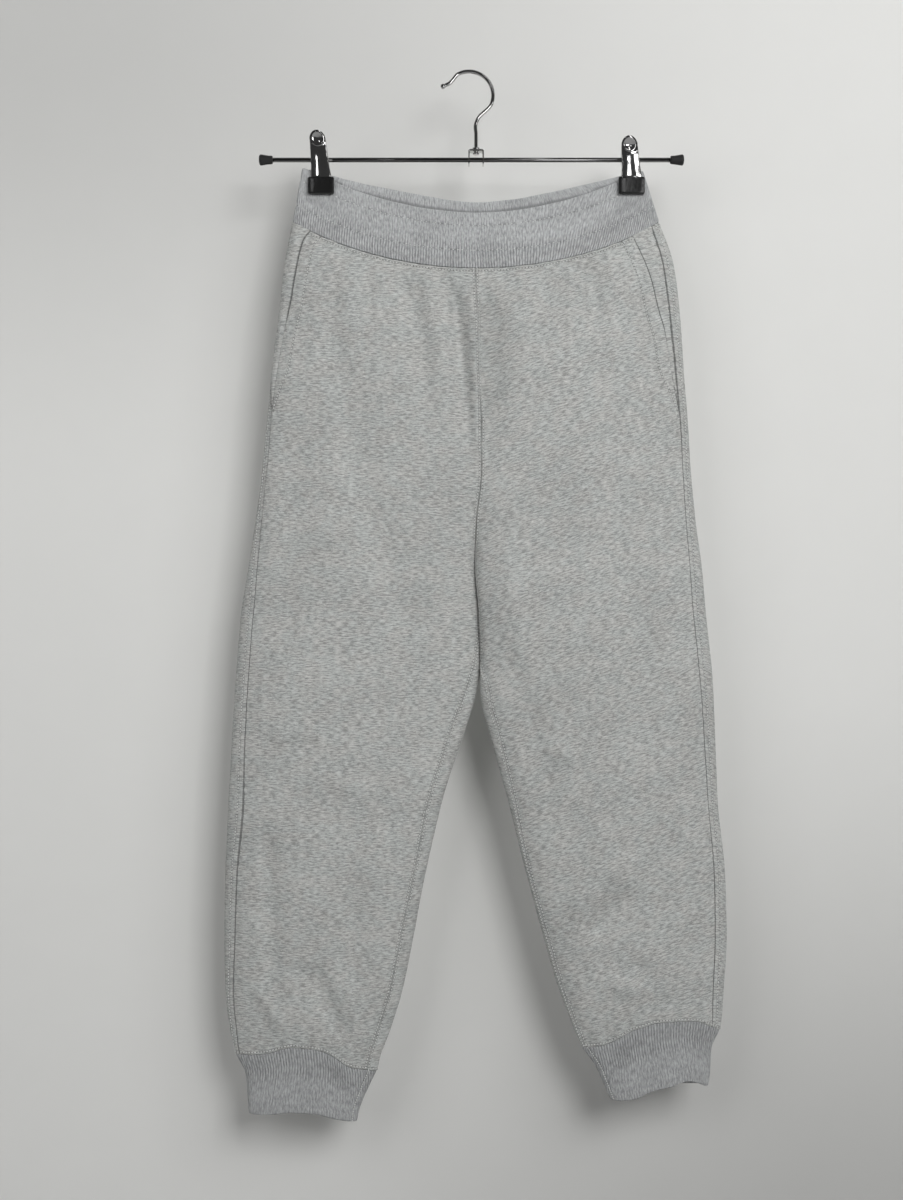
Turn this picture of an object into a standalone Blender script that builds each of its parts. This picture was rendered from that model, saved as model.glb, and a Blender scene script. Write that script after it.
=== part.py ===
"""Jogger sweatpants hanging from a clip hanger.

The origin is the inside top of the hanger's hook, where it hangs.  +Z is up, the garment's front
faces -Y, and the wearer's right leg is at -X.  All sizes below are in millimetres; solid() and the
hanger's helpers turn them into metres.
"""
from math import cos, hypot, pi, radians, sin, sqrt

import bmesh
import bpy
import numpy as np
from mathutils import Matrix, Vector

MM = 0.001

# ---- driving dimensions: the garment -------------------------------------------------------
MIDDLE = 7.0              # the garment's middle line, in X from the hook
CLOTH = 2.0               # brushed fleece
RIB = 3.0                 # folded rib knit
SEAM_HALF_GAP = 0.16      # each piece stops this far from its seam
LEG_HALF_GAP = 0.75       # from each leg's inner edge to the line where the legs meet
LEG_OVERLAP = 2.0         # how far each leg reaches past that line where the left hangs in front
ROUNDNESS = 0.87          # 2 / exponent of the sections' superellipse
CROTCH = -470.0           # height where the two legs part
PARTING_EASE = 110.0      # away from the middle, the legs part down to this far below it
PARTING_REACH = 0.45      # share of the leg's width that counts as the middle
FRONT_SEAM_MIDDLE = -199.0
BACK_SEAM_MIDDLE = -189.0
SEAM_SIDE = -149.0        # the waist seam's height at the side edges
BACK_RISE_FADE = 0.3      # share of the leg's rows over which the back's higher seam evens out

# Each leg's sections, top to bottom.  outer and inner are the edges' distances from the middle
# line, outseam and inseam how far those seams are rolled onto the front, and depth is half the
# distance from front to back.
LEG_COLUMNS = ("z", "outer", "inner", "outseam", "inseam", "depth")
RIGHT_LEG = (
    (-145, 183, 1, 1, 0, 19),
    (-195, 193, 1, 1, 0, 23),
    (-250, 199, -1, 1, 0, 25),
    (-300, 206, -3, 2, 0, 25),
    (-345, 210, -5, 6, 0, 25),
    (-400, 215, -5, 6, 0, 24),
    (-450, 222, 0, 8, 0, 24),
    (-490, 228, 1, 10, 0, 23),
    (-540, 236, -3, 14, 0, 23),
    (-590, 240, -5, 14, 7, 22),
    (-620, 242, 0, 14, 12, 22),
    (-660, 244, 11, 14, 15, 21),
    (-730, 247, 33, 15, 14, 20),
    (-800, 250, 49, 12, 12, 19),
    (-860, 251, 61, 11, 13, 18),
    (-915, 250, 72, 8, 13, 17),
    (-955, 246, 84, 7, 13, 15),
    (-985, 239, 95, 4, 11, 13),
    (-1000, 233, 99, 4, 10, 12),
)
LEFT_LEG = (
    (-145, 182, -1, 10, 0, 19),
    (-195, 198, -1, 11, 0, 23),
    (-250, 204, 1, 10, 0, 25),
    (-300, 207, 3, 8, 0, 25),
    (-345, 211, 5, 8, 0, 25),
    (-400, 215, 5, 9, 0, 24),
    (-450, 220, 0, 11, 0, 24),
    (-490, 225, -1, 13, 0, 23),
    (-540, 229, 3, 14, 0, 23),
    (-590, 234, 5, 14, 0, 22),
    (-620, 236, 5, 13, 8, 22),
    (-660, 238, 13, 12, 9, 21),
    (-730, 242, 32, 11, 6, 20),
    (-800, 249, 49, 12, 4, 19),
    (-860, 251, 66, 13, 4, 18),
    (-915, 248, 82, 12, 4, 17),
    (-955, 244, 97, 9, 4, 14),
    (-985, 236, 109, 8, 4, 12),
)

# The slant pocket openings: the opening edge's distance from the middle line.
OPENING_COLUMNS = ("z", "edge")
RIGHT_OPENING = (
    (-150, 156),
    (-170, 172),
    (-205, 180),
    (-230, 184),
    (-260, 191),
    (-300, 198),
    (-345, 204),
)
LEFT_OPENING = (
    (-150, 146),
    (-180, 163),
    (-205, 173),
    (-240, 182),
    (-260, 188),
    (-300, 195),
    (-345, 203),
)
FACING_BOTTOM = -333.0
FACING_UNDERLAP = 13.0    # how far the facing runs on under the front panel
FACING_STEP = 2.5         # how far it lies below the panel's face there
FACING_RISE = 7.0         # it is level with the panels again this far from the opening
OPENING_FOOT = -345.0     # the opening has joined the outseam at this height

# Cuffs: seam and hem heights across each cuff, from its inner edge (0) to its outer edge (1).
CUFF_LINE_COLUMNS = ("across", "seam", "hem", "back_hem")
RIGHT_CUFF_LINES = (
    (0.0, -997, -1047, -1046),
    (0.2, -991, -1042, -1042),
    (0.4, -975, -1037, -1038),
    (0.6, -971, -1036, -1037),
    (0.8, -978, -1039, -1038),
    (1.0, -980, -1040, -1040),
)
LEFT_CUFF_LINES = (
    (0.0, -974, -1026, -1026),
    (0.2, -968, -1024, -1023),
    (0.4, -954, -1016, -1017),
    (0.6, -946, -1011, -1013),
    (0.8, -945, -1006, -1012),
    (1.0, -956, -1012, -1012),
)
# Cuffs: edges and half depth from seam (0) to hem (1).
CUFF_SIDE_COLUMNS = ("down", "outer", "inner", "depth")
RIGHT_CUFF_SIDES = (
    (0.0, 240, 98, 13),
    (0.35, 230, 107, 12),
    (0.8, 228, 117, 12),
    (1.0, 227, 119, 12),
)
LEFT_CUFF_SIDES = (
    (0.0, 243, 105, 13),
    (0.35, 235, 119, 12),
    (0.8, 234, 130, 12),
    (1.0, 232, 135, 12),
)

# Waistband: top edge and how it hangs open between the clips.
BAND_FRONT_MIDDLE = -144.0
BAND_BACK_MIDDLE = -126.0
BAND_FRONT_POWER = 1.7    # the front edge rises to the corners as this power
BAND_BACK_POWER = 1.45
BAND_CORNER = {"right": -94.5, "left": -97.5}
BAND_HALF_WIDTH = {"right": 174.0, "left": 167.0}
BAND_FRONT_SAG = 20.0     # half depth of the open mouth, front and back
BAND_BACK_SAG = 14.0
BAND_PINCH = 3.5          # half depth where the clips press front and back together
BAND_PINCH_FROM = 0.8     # the pinch starts this far across, and holds this far down
BAND_PINCH_DOWN = 0.38
BAND_END_ROUND = 4.0

# The largest folds, as troughs (negative) or ridges in the cloth's face: a row for each fold,
# from its top (x, z) to its foot, x measured from the middle line.
FOLD_COLUMNS = ("face", "top_x", "top_z", "foot_x", "foot_z", "half_width", "height")
FOLDS = (
    ("front", -29, -203, -6, -400, 11, -4.0),
    ("front", -46, -205, -24, -390, 12, 2.0),
    ("front", 15, -225, 19, -365, 13, -4.0),
    ("front", -71, -195, -66, -262, 12, -2.0),
    ("front", 112, -188, 126, -262, 13, -2.5),
    ("front", 138, -210, 162, -322, 13, -2.0),
    ("front", -178, -880, -128, -972, 15, -3.0),
    ("front", 160, -880, 190, -940, 15, -2.5),
    ("back", -60, -200, -30, -400, 16, -3.0),
    ("back", 64, -205, 34, -395, 16, -3.0),
    ("back", 150, -860, 190, -940, 15, -2.5),
    ("back", -150, -860, -190, -960, 15, -2.5),
)
FOLD_START = 0.18         # share of a fold's length over which it deepens, and fades at its foot
FOLD_FADE = 0.35
# The left leg hangs a little in front of the right one where the two meet.
OVERLAP_SHIFT = 5.0
OVERLAP_TOP = -430.0
OVERLAP_MIDDLE = -560.0
OVERLAP_FOOT = -720.0

# Rows and columns of the panels.
PANEL_ROWS = (-199, -225, -260, -300, -340, -380, -412, -438, -456, -466, -471, -500, -545,
              -590, -620, -655, -700, -755, -815, -870, -920, -960)
FRONT_COLUMNS = 12
BACK_COLUMNS = 18
SHOWN_COLUMNS = 4         # of the pocket facing, outside and under the front panel
TUCKED_COLUMNS = 2
BAND_COLUMNS = 48
BAND_ROWS = (0.0, 0.2, 0.38, 0.68, 1.0)
CUFF_ROWS = (0.0, 0.35, 0.7, 1.0)
PROBE = 0.002             # a small turn, for measuring along the section
LEAST_ROLL = 0.05         # an inseam rolled less than this onto the front counts as at the edge
HALVINGS = 40             # of the span in which a seam is looked for
LAST_ROW_ROOM = 0.01      # the facing's last row keeps this share of the leg from the row above

# ---- driving dimensions: the hanger --------------------------------------------------------
ROD_HEIGHT = -86.5
ROD_RADIUS = 2.3
ROD_END = {"right": 196.0, "left": 201.0}          # distances in X from the hook
FIT = 0.3                                          # clearance between metal pieces
TIP_PROFILE = ((0, -1.0), (4.0, -1.0), (4.6, 5.0), (5.4, 10.0), (4.4, 12.0), (0, 12.6))
HOOK_RADIUS = 2.0
HOOK_ARC_RADIUS = 24.0                             # to the wire's middle
HOOK_ARC_START = -22.0                             # degrees from +X
HOOK_ARC_END = 118.0
STEM_X = 7.0
HOOK_STEM = ((STEM_X, -79.6), (STEM_X, -70.0), (STEM_X, -61.0), (6.4, -53.6), (8.6, -46.0))
HOOK_TIP = ((-16.3, -6.6), (-19.6, -9.9), (-23.4, -11.7))
HOOK_ARC_STEPS = 18
HOOK_POINTS = 44
HOOK_SIDES = 8
HEAD_COLUMNS = ("drop", "radius")                  # the stem's peened head, from its lowest point
HEAD_ROWS = ((1.6, 2.2), (1.5, 3.2), (0.4, 3.2), (0.3, HOOK_RADIUS))
BALL_RADIUS = 2.7
BALL_ANGLES = (-50, -20, 10, 40, 70)
BRACKET_WIDTH = 15.4
BRACKET_DEPTH = 12.0
BRACKET_TOP = -77.0
BRACKET_BOTTOM = -91.6
SHEET = 1.2
FERRULE_RADIUS = 3.9
FERRULE_HEIGHT = 2.6
FERRULE_EDGE = 0.8        # the ferrule's top edge slopes in by this
STEM_HOLE_LENGTH = 20.0

# Clips: a row for each, with X of the jaws, X of the lever's top and its height.
CLIP_COLUMNS = ("side", "jaw_x", "lever_x", "lever_top")
CLIPS = (("right", -147.5, -151.4, -60.0), ("left", 162.0, 159.0, -65.5))
JAW_BOTTOM = -120.6
LEAN_FROM = -103.0
PLATE = 1.0
PLATE_HALF_WIDTH = 9.2
EAR_INSET = 1.6           # the back plate is this much narrower on each side, between the front's ears
# Plate sections below the rounded lever: half width as a share, distance from the clip's middle
# plane, and how far the side flanges reach back from the face.
PLATE_COLUMNS = ("z", "width", "stand", "flange")
PLATE_ROWS = (
    (-76.0, 0.92, 8.6, 2.6),
    (-80.5, 0.94, 7.9, 8.5),
    (-84.0, 0.96, 7.5, 11.0),
    (-90.0, 0.98, 7.2, 10.6),
    (-94.0, 1.0, 7.0, 3.0),
    (-103.0, 1.1, 6.7, 1.7),
    (JAW_BOTTOM, 1.12, 6.5, 1.4),
)
LEVER_RADIUS = 8.2
LEVER_STAND = 13.0
LEVER_FLANGE = 1.4
LEVER_DROPS = (0.5, 2.4, 5.5, LEVER_RADIUS + 1.5)  # of its rows, below its top
CROWN = 1.3               # how far the plate's middle bulges outward
CROWN_RISE = 12.0         # the jaw is flat at the sleeve's top and fully crowned this far above
SLEEVE_WIDTH = 26.0
SLEEVE_TOP = -105.0
SLEEVE_BOTTOM = -122.0
SLEEVE_INNER = 3.8        # the sleeve's two faces, from the clip's middle plane
SLEEVE_OUTER = 8.3
SLEEVE_ROUNDING = 1.2
SLOT_WIDTH = 2 * (PLATE_HALF_WIDTH * PLATE_ROWS[-1][1] + FIT + 0.1)
SLOT_DEPTH = 2.2
SLOT_MIDDLE = 5.95
SPRING_RADIUS = 4.3
SPRING_HALF_LENGTH = 5.4
TURN_STEPS = 16


# ---- helpers -------------------------------------------------------------------------------
def smooth_curve(keys, values):
    """A cubic through the given rows that never overshoots them; keys ascend."""
    keys = np.array(keys, float)
    values = np.array(values, float)
    step = np.diff(keys)
    slope = np.diff(values) / step
    tangent = np.zeros_like(values)
    product = slope[:-1] * slope[1:]
    total = slope[:-1] + slope[1:]
    tangent[1:-1] = np.where(product > 0, 2 * product / np.where(total == 0, 1, total), 0)
    tangent[0] = slope[0]
    tangent[-1] = slope[-1]

    def value(at):
        at = np.clip(at, keys[0], keys[-1])
        i = np.clip(np.searchsorted(keys, at) - 1, 0, len(step) - 1)
        t = (at - keys[i]) / step[i]
        start = (1 + 2 * t) * (1 - t) ** 2 * values[i] + t * (1 - t) ** 2 * step[i] * tangent[i]
        end = t * t * (3 - 2 * t) * values[i + 1] - t * t * (1 - t) * step[i] * tangent[i + 1]
        return start + end

    return value


def curves(columns, rows):
    """A smooth curve for each named column, over the first one."""
    table = np.array(sorted(rows), float)
    return {name: smooth_curve(table[:, 0], table[:, n]) for n, name in enumerate(columns) if n}


def blend(a, b, share):
    return a + (b - a) * share


def ramp(low, high, at):
    """0 below low, 1 above high, smooth between."""
    t = np.clip((at - low) / (high - low), 0, 1)
    return t * t * (3 - 2 * t)


def lobe(angle):
    """A superellipse's two coordinates: along its width, and out from its middle plane."""
    along = np.cos(angle)
    out = np.abs(np.sin(angle))
    return np.sign(along) * np.abs(along) ** ROUNDNESS, out ** ROUNDNESS


def finish(name, bm, material, parent):
    """Turns a bmesh into a named, smooth-shaded object whose faces point outward."""
    bmesh.ops.recalc_face_normals(bm, faces=bm.faces)
    mesh = bpy.data.meshes.new(name)
    bm.to_mesh(mesh)
    bm.free()
    mesh.shade_smooth()
    mesh.set_sharp_from_angle(angle=radians(40))
    mesh.materials.append(material)
    thing = bpy.data.objects.new(name, mesh)
    thing.parent = parent
    bpy.context.scene.collection.objects.link(thing)
    return thing


def shell(name, outer, inner, closed, material, parent):
    """A wall between two grids of points (rows of columns); closed joins last column to first."""
    bm = bmesh.new()
    faces = []
    for grid in (outer, inner):
        faces.append([[bm.verts.new(Vector(point) * MM) for point in row] for row in grid])
    rows = len(outer)
    columns = len(outer[0])
    spans = [(c, (c + 1) % columns) for c in range(columns if closed else columns - 1)]
    for grid in faces:
        for r in range(rows - 1):
            for c, d in spans:
                bm.faces.new((grid[r][c], grid[r][d], grid[r + 1][d], grid[r + 1][c]))
    front, back = faces
    for r in (0, rows - 1):
        for c, d in spans:
            bm.faces.new((front[r][c], front[r][d], back[r][d], back[r][c]))
    if not closed:
        for c in (0, columns - 1):
            for r in range(rows - 1):
                bm.faces.new((front[r][c], front[r + 1][c], back[r + 1][c], back[r][c]))
    return finish(name, bm, material, parent)


def finished_material(name, colour, roughness, metallic=0.0):
    material = bpy.data.materials.new(name)
    material.use_nodes = True
    shader = material.node_tree.nodes["Principled BSDF"]
    shader.inputs["Base Color"].default_value = (*colour, 1)
    shader.inputs["Roughness"].default_value = roughness
    shader.inputs["Metallic"].default_value = metallic
    return material


# ---- the garment's form --------------------------------------------------------------------
class Leg:
    """One leg's outline: a smooth curve down the leg for each column of its table."""

    def __init__(self, name, side, rows, opening, cuff_lines, cuff_sides):
        self.name = name
        self.side = side
        self.edges = curves(LEG_COLUMNS, rows)
        self.opening = curves(OPENING_COLUMNS, opening)["edge"]
        self.cuff_lines = curves(CUFF_LINE_COLUMNS, cuff_lines)
        self.cuff_sides = curves(CUFF_SIDE_COLUMNS, cuff_sides)

    def outseam(self, z):
        return self.edges["outer"](z) - self.edges["outseam"](z)

    def front_limit(self, z):
        """Where the front panel ends at the side: the outseam, or the pocket's opening."""
        return min(self.outseam(z), self.opening(z)) if z > OPENING_FOOT else self.outseam(z)

    def inseam(self, z):
        return self.edges["inner"](z) + leg_gap(z) + self.edges["inseam"](z)


def openness(z, across=0.0):
    """1 where the two legs are one tube at the waist, falling to 0 where they part.

    In the middle it falls along an arc to the crotch; further out it eases off over a longer way.
    """
    down = np.clip((FRONT_SEAM_MIDDLE - z) / (FRONT_SEAM_MIDDLE - CROTCH), 0, 1)
    in_middle = np.sqrt(1 - down * down)
    further_out = ramp(CROTCH - PARTING_EASE, FRONT_SEAM_MIDDLE, z)
    return blend(in_middle, further_out, ramp(0, PARTING_REACH, across))


def overlap_share(z):
    return ramp(-OVERLAP_TOP, -OVERLAP_MIDDLE, -z) * ramp(OVERLAP_FOOT, OVERLAP_MIDDLE, z)


def leg_gap(z):
    return blend(LEG_HALF_GAP, SEAM_HALF_GAP, openness(z)) - LEG_OVERLAP * overlap_share(z)


def waist_seam(across, face):
    middle = np.where(face < 0, FRONT_SEAM_MIDDLE, BACK_SEAM_MIDDLE)
    return middle + (SEAM_SIDE - middle) * across ** 2


def sway(side, z):
    """The left leg hangs forward and the right leg back where the two meet."""
    return -side * OVERLAP_SHIFT * overlap_share(z)


def fold_height(x, z, face):
    """How far the folds lift (or sink) the cloth's face at a place."""
    height = 0.0
    for fold_face, top_x, top_z, foot_x, foot_z, half_width, peak in FOLDS:
        down = np.clip((top_z - z) / (top_z - foot_z), 0, 1)
        off = (x - blend(top_x, foot_x, down)) / half_width
        along = ramp(0, FOLD_START, down) * ramp(0, FOLD_FADE, 1 - down)
        here = face == (-1 if fold_face == "front" else 1)
        height = height + np.where(here, peak * along * np.exp(-off * off), 0)
    return height


def leg_point(leg, turn, row, inset=0.0):
    """A point of a leg's section.

    turn runs round the leg: 0 at the outer edge, 90 degrees at the inner edge over the back, and
    -90 degrees there over the front; past 90 degrees it goes on round the inner edge to the front.
    row is 0 at the waist seam and 1 at the cuff seam, and inset moves the point into the wall.
    """
    reach = np.where(turn <= pi / 2, np.abs(turn), pi - turn)
    face = np.where((turn < 0) | (turn > pi / 2), -1, 1)
    body_along, body_out = lobe(reach)
    tube_along, tube_out = lobe(2 * reach)
    row_height = blend(FRONT_SEAM_MIDDLE, leg.cuff_lines["seam"](0.0), row)
    across = blend((1 + tube_along) / 2, body_along, openness(row_height, 1.0))
    level = waist_seam(across, -1)
    raised = (waist_seam(across, face) - level) * (1 - ramp(0, BACK_RISE_FADE, row))
    top = level + raised - SEAM_HALF_GAP
    bottom = leg.cuff_lines["seam"](across) + SEAM_HALF_GAP
    z = blend(top, bottom, row)
    open_share = openness(z, across)
    inner = leg.edges["inner"](z) + leg_gap(z)
    width = leg.edges["outer"](z) - inner
    depth = leg.edges["depth"](z) - inset
    tube_x = inner + width / 2 + (width / 2 - inset) * tube_along
    body_x = inner + (width - inset) * body_along
    x = leg.side * blend(tube_x, body_x, open_share)
    out = depth * blend(tube_out, body_out, open_share)
    y = face * (out + fold_height(x, z, face)) + sway(leg.side, z)
    return np.stack([MIDDLE + x, y, z], axis=-1)


def distance_out(leg, reach, row):
    """Distance from the middle line and height of the front face's point at this reach."""
    x, _, z = leg_point(leg, np.array(-reach), row)
    return leg.side * (x - MIDDLE), z


def reach_at(leg, row, limit, low, high):
    """The reach on the front where the section crosses a line given as a distance over height."""
    for _ in range(HALVINGS):
        middle = (low + high) / 2
        x, z = distance_out(leg, middle, row)
        if x > limit(z):
            low = middle
        else:
            high = middle
    return (low + high) / 2


def trimmed(leg, row, reach, step):
    """The reach, moved by half of the seam's gap in the direction of step."""
    here = leg_point(leg, np.array(-reach), row)
    there = leg_point(leg, np.array(-(reach + step)), row)
    return reach + step * SEAM_HALF_GAP / np.linalg.norm(there - here)


def panel_rows(leg):
    """The rows' shares, from their heights at the inner edge."""
    bottom = float(leg.cuff_lines["seam"](0.0))
    heights = PANEL_ROWS + (bottom,)
    return [(FRONT_SEAM_MIDDLE - z) / (FRONT_SEAM_MIDDLE - bottom) for z in heights]


def inner_reach(leg, row):
    """Reach of the centre seam or inseam on the front: the very edge, until the inseam rolls over."""
    if float(leg.edges["inseam"](distance_out(leg, pi / 2, row)[1])) < LEAST_ROLL:
        return pi / 2
    return reach_at(leg, row, leg.inseam, pi / 4, pi / 2)


def front_turns(leg, row):
    """The front panel's columns: from the centre seam or inseam out to the outseam or pocket."""
    start = trimmed(leg, row, inner_reach(leg, row), -PROBE)
    end = trimmed(leg, row, reach_at(leg, row, leg.front_limit, 0, pi / 4), PROBE)
    return -np.linspace(start, end, FRONT_COLUMNS + 1)


def back_turns(leg, row):
    """The back panel's columns: from the outseam over the back to the centre seam or inseam."""
    start = -trimmed(leg, row, reach_at(leg, row, leg.outseam, 0, pi / 4), -PROBE)
    inner_edge = inner_reach(leg, row)
    if inner_edge == pi / 2:
        end = trimmed(leg, row, inner_edge, -PROBE)
    else:
        end = pi - trimmed(leg, row, inner_edge, PROBE)
    return np.linspace(start, end, BACK_COLUMNS + 1)


def panel(name, leg, turns_of, material, parent):
    outer, inner = [], []
    for row in panel_rows(leg):
        turns = turns_of(leg, row)
        outer.append(leg_point(leg, turns, row))
        inner.append(leg_point(leg, turns, row, CLOTH))
    return shell(f"{name}_{leg.name}_leg", outer, inner, False, material, parent)


def pocket_facing(leg, material, parent):
    """The cloth behind the slant opening: level at the outseam, tucked under the front panel."""
    outer, inner = [], []
    leg_length = FRONT_SEAM_MIDDLE - float(leg.cuff_lines["seam"](0.0))
    last = (FRONT_SEAM_MIDDLE - FACING_BOTTOM) / leg_length
    for row in [r for r in panel_rows(leg) if r < last - LAST_ROW_ROOM] + [last]:
        start = trimmed(leg, row, reach_at(leg, row, leg.outseam, 0, pi / 4), PROBE)
        edge = reach_at(leg, row, leg.opening, 0, pi / 3)
        end = reach_at(leg, row, lambda z: leg.opening(z) - FACING_UNDERLAP, 0, pi / 3)
        shown = np.linspace(start, edge, SHOWN_COLUMNS + 1)
        tucked = np.linspace(edge, end, TUCKED_COLUMNS + 1)[1:]
        turns = -np.concatenate([shown, tucked])
        face = leg_point(leg, turns, row)
        from_edge = leg.side * (face[:, 0] - MIDDLE) - leg.opening(face[:, 2])
        step = FACING_STEP * (1 - ramp(0, FACING_RISE, from_edge))
        outer.append(leg_point(leg, turns, row, step))
        inner.append(leg_point(leg, turns, row, step + CLOTH))
    return shell(f"pocket_facing_{leg.name}", outer, inner, False, material, parent)


def band_point(legs, turn, down, inset):
    """A point of the waistband: turn 0 at the left edge, 90 degrees at the centre back."""
    along, out = lobe(turn)
    leg = legs["left"] if along > 0 else legs["right"]
    face = 1 if sin(turn) > 0 else -1
    across = abs(along)
    middle, power, sag = (
        (BAND_FRONT_MIDDLE, BAND_FRONT_POWER, BAND_FRONT_SAG)
        if face < 0
        else (BAND_BACK_MIDDLE, BAND_BACK_POWER, BAND_BACK_SAG)
    )
    top = blend(middle, BAND_CORNER[leg.name], across ** power)
    seam = waist_seam(across, face)
    z = blend(top, seam + SEAM_HALF_GAP, down)
    half_width = blend(BAND_HALF_WIDTH[leg.name], leg.edges["outer"](SEAM_SIDE), down) - inset
    bell = 0.5 + 0.5 * cos(pi * min(across / BAND_PINCH_FROM, 1))
    into_end = max(0.0, (across - 1) * half_width / BAND_END_ROUND + 1)
    pinched = (blend(BAND_PINCH, sag, bell) - inset) * sqrt(max(0.0, 1 - into_end ** 2))
    hanging = (leg.edges["depth"](seam) - inset) * out
    y = face * blend(pinched, hanging, ramp(BAND_PINCH_DOWN, 1, down))
    return (MIDDLE + leg.side * half_width * across, y, z)


def waistband(legs, material, parent):
    turns = [2 * pi * n / BAND_COLUMNS for n in range(BAND_COLUMNS)]
    outer = [[band_point(legs, turn, down, 0.0) for turn in turns] for down in BAND_ROWS]
    inner = [[band_point(legs, turn, down, RIB) for turn in turns] for down in BAND_ROWS]
    return shell("waistband", outer, inner, True, material, parent)


def cuff_point(leg, turn, down, inset):
    """A point of a cuff: turn 0 at the outer edge, 90 degrees in the middle of the back."""
    along, out = lobe(turn)
    face = 1 if sin(turn) > 0 else -1
    across = (1 + along) / 2
    hem = leg.cuff_lines["back_hem" if face > 0 else "hem"](across)
    z = blend(leg.cuff_lines["seam"](across) - SEAM_HALF_GAP, hem, down)
    outer = leg.cuff_sides["outer"](down)
    inner = leg.cuff_sides["inner"](down)
    x = (outer + inner) / 2 + ((outer - inner) / 2 - inset) * along
    y = face * (leg.cuff_sides["depth"](down) - inset) * out
    return (MIDDLE + leg.side * x, y, z)


def cuff(leg, material, parent):
    """A folded tube whose columns meet those of the leg above it."""
    turns = 2 * np.concatenate([back_turns(leg, 1.0), front_turns(leg, 1.0)[1:-1]])
    outer = [[cuff_point(leg, turn, down, 0.0) for turn in turns] for down in CUFF_ROWS]
    inner = [[cuff_point(leg, turn, down, RIB) for turn in turns] for down in CUFF_ROWS]
    return shell(f"cuff_{leg.name}", outer, inner, True, material, parent)


# ---- the hanger's helpers ------------------------------------------------------------------
def turned(name, profile, material, parent, ring=False):
    """A solid of revolution round local Z; ring closes the profile on itself."""
    bm = bmesh.new()
    rings = []
    for radius, height in profile:
        steps = TURN_STEPS if radius > 0 else 1
        angles = [2 * pi * n / TURN_STEPS for n in range(steps)]
        points = [Vector((radius * cos(a), radius * sin(a), height)) for a in angles]
        rings.append([bm.verts.new(point * MM) for point in points])
    pairs = list(zip(rings, rings[1:] + (rings[:1] if ring else [])))
    for low, high in pairs:
        for n in range(TURN_STEPS):
            below = [low[n % len(low)], low[(n + 1) % len(low)]]
            above = [high[(n + 1) % len(high)], high[n % len(high)]]
            bm.faces.new(list(dict.fromkeys(below + above)))
    return finish(name, bm, material, parent)


def wire(name, path, radii, sides, material, parent):
    """A round wire along points in the XZ plane, with its own radius at each point."""
    bm = bmesh.new()
    rings = []
    for n, (x, z) in enumerate(path):
        before = path[max(n - 1, 0)]
        after = path[min(n + 1, len(path) - 1)]
        length = hypot(after[0] - before[0], after[1] - before[1])
        across = Vector(((after[1] - before[1]) / length, 0, (before[0] - after[0]) / length))
        ring = []
        for k in range(sides):
            angle = 2 * pi * k / sides
            offset = across * cos(angle) + Vector((0, 1, 0)) * sin(angle)
            ring.append(bm.verts.new((Vector((x, 0, z)) + offset * radii[n]) * MM))
        rings.append(ring)
    for low, high in zip(rings, rings[1:]):
        for k in range(sides):
            bm.faces.new((low[k], low[(k + 1) % sides], high[(k + 1) % sides], high[k]))
    bm.faces.new(rings[0])
    bm.faces.new(rings[-1])
    return finish(name, bm, material, parent)


def make_guide(thing):
    """Marks an object that only cuts others: drawn as wire and left out of renders."""
    thing.hide_render = True
    thing.display_type = "WIRE"


def cylinder(name, radius, length, material, parent):
    profile = ((0, -length / 2), (radius, -length / 2), (radius, length / 2), (0, length / 2))
    return turned(name, profile, material, parent)


def box(name, size, material, parent, rounding=0.0):
    bm = bmesh.new()
    bmesh.ops.create_cube(bm, size=1, matrix=Matrix.Diagonal((*(Vector(size) * MM), 1)))
    if rounding:
        width = rounding * MM
        bmesh.ops.bevel(bm, geom=bm.edges[:], offset=width, segments=2, affect="EDGES", profile=0.5)
    return finish(name, bm, material, parent)


def cut(thing, tool):
    modifier = thing.modifiers.new(f"{tool.name}_cut", "BOOLEAN")
    modifier.operation = "DIFFERENCE"
    modifier.object = tool


# ---- the hanger ----------------------------------------------------------------------------
def hook_path():
    """The wire's middle line: stem, bend, round hook, and its flared tip."""
    arc = []
    for n in range(HOOK_ARC_STEPS + 1):
        angle = radians(blend(HOOK_ARC_START, HOOK_ARC_END, n / HOOK_ARC_STEPS))
        height = HOOK_ARC_RADIUS * sin(angle) - (HOOK_ARC_RADIUS - HOOK_RADIUS)
        arc.append((HOOK_ARC_RADIUS * cos(angle), height))
    guide = np.array(HOOK_STEM + tuple(arc) + HOOK_TIP)
    length = np.concatenate([[0], np.cumsum(np.linalg.norm(np.diff(guide, axis=0), axis=1))])
    fine = np.linspace(0, length[-1], HOOK_POINTS)
    x = smooth_curve(length, guide[:, 0])(fine)
    z = smooth_curve(length, guide[:, 1])(fine)
    return list(zip(x, z))


def hook(material, parent):
    """The wire with a peened head under the bracket and a small ball at its tip."""
    path = hook_path()
    end = path[-1]
    way = Vector((end[0] - path[-2][0], end[1] - path[-2][1])).normalized()
    points = [(STEM_X, path[0][1] - drop) for drop, _ in HEAD_ROWS] + path[1:]
    radii = [radius for _, radius in HEAD_ROWS] + [HOOK_RADIUS] * (len(path) - 1)
    for degrees in BALL_ANGLES:
        place = BALL_RADIUS * (1 + sin(radians(degrees)))
        points.append((end[0] + way.x * place, end[1] + way.y * place))
        radii.append(BALL_RADIUS * cos(radians(degrees)))
    wire("hanger_hook", points, radii, HOOK_SIDES, material, parent)


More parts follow.
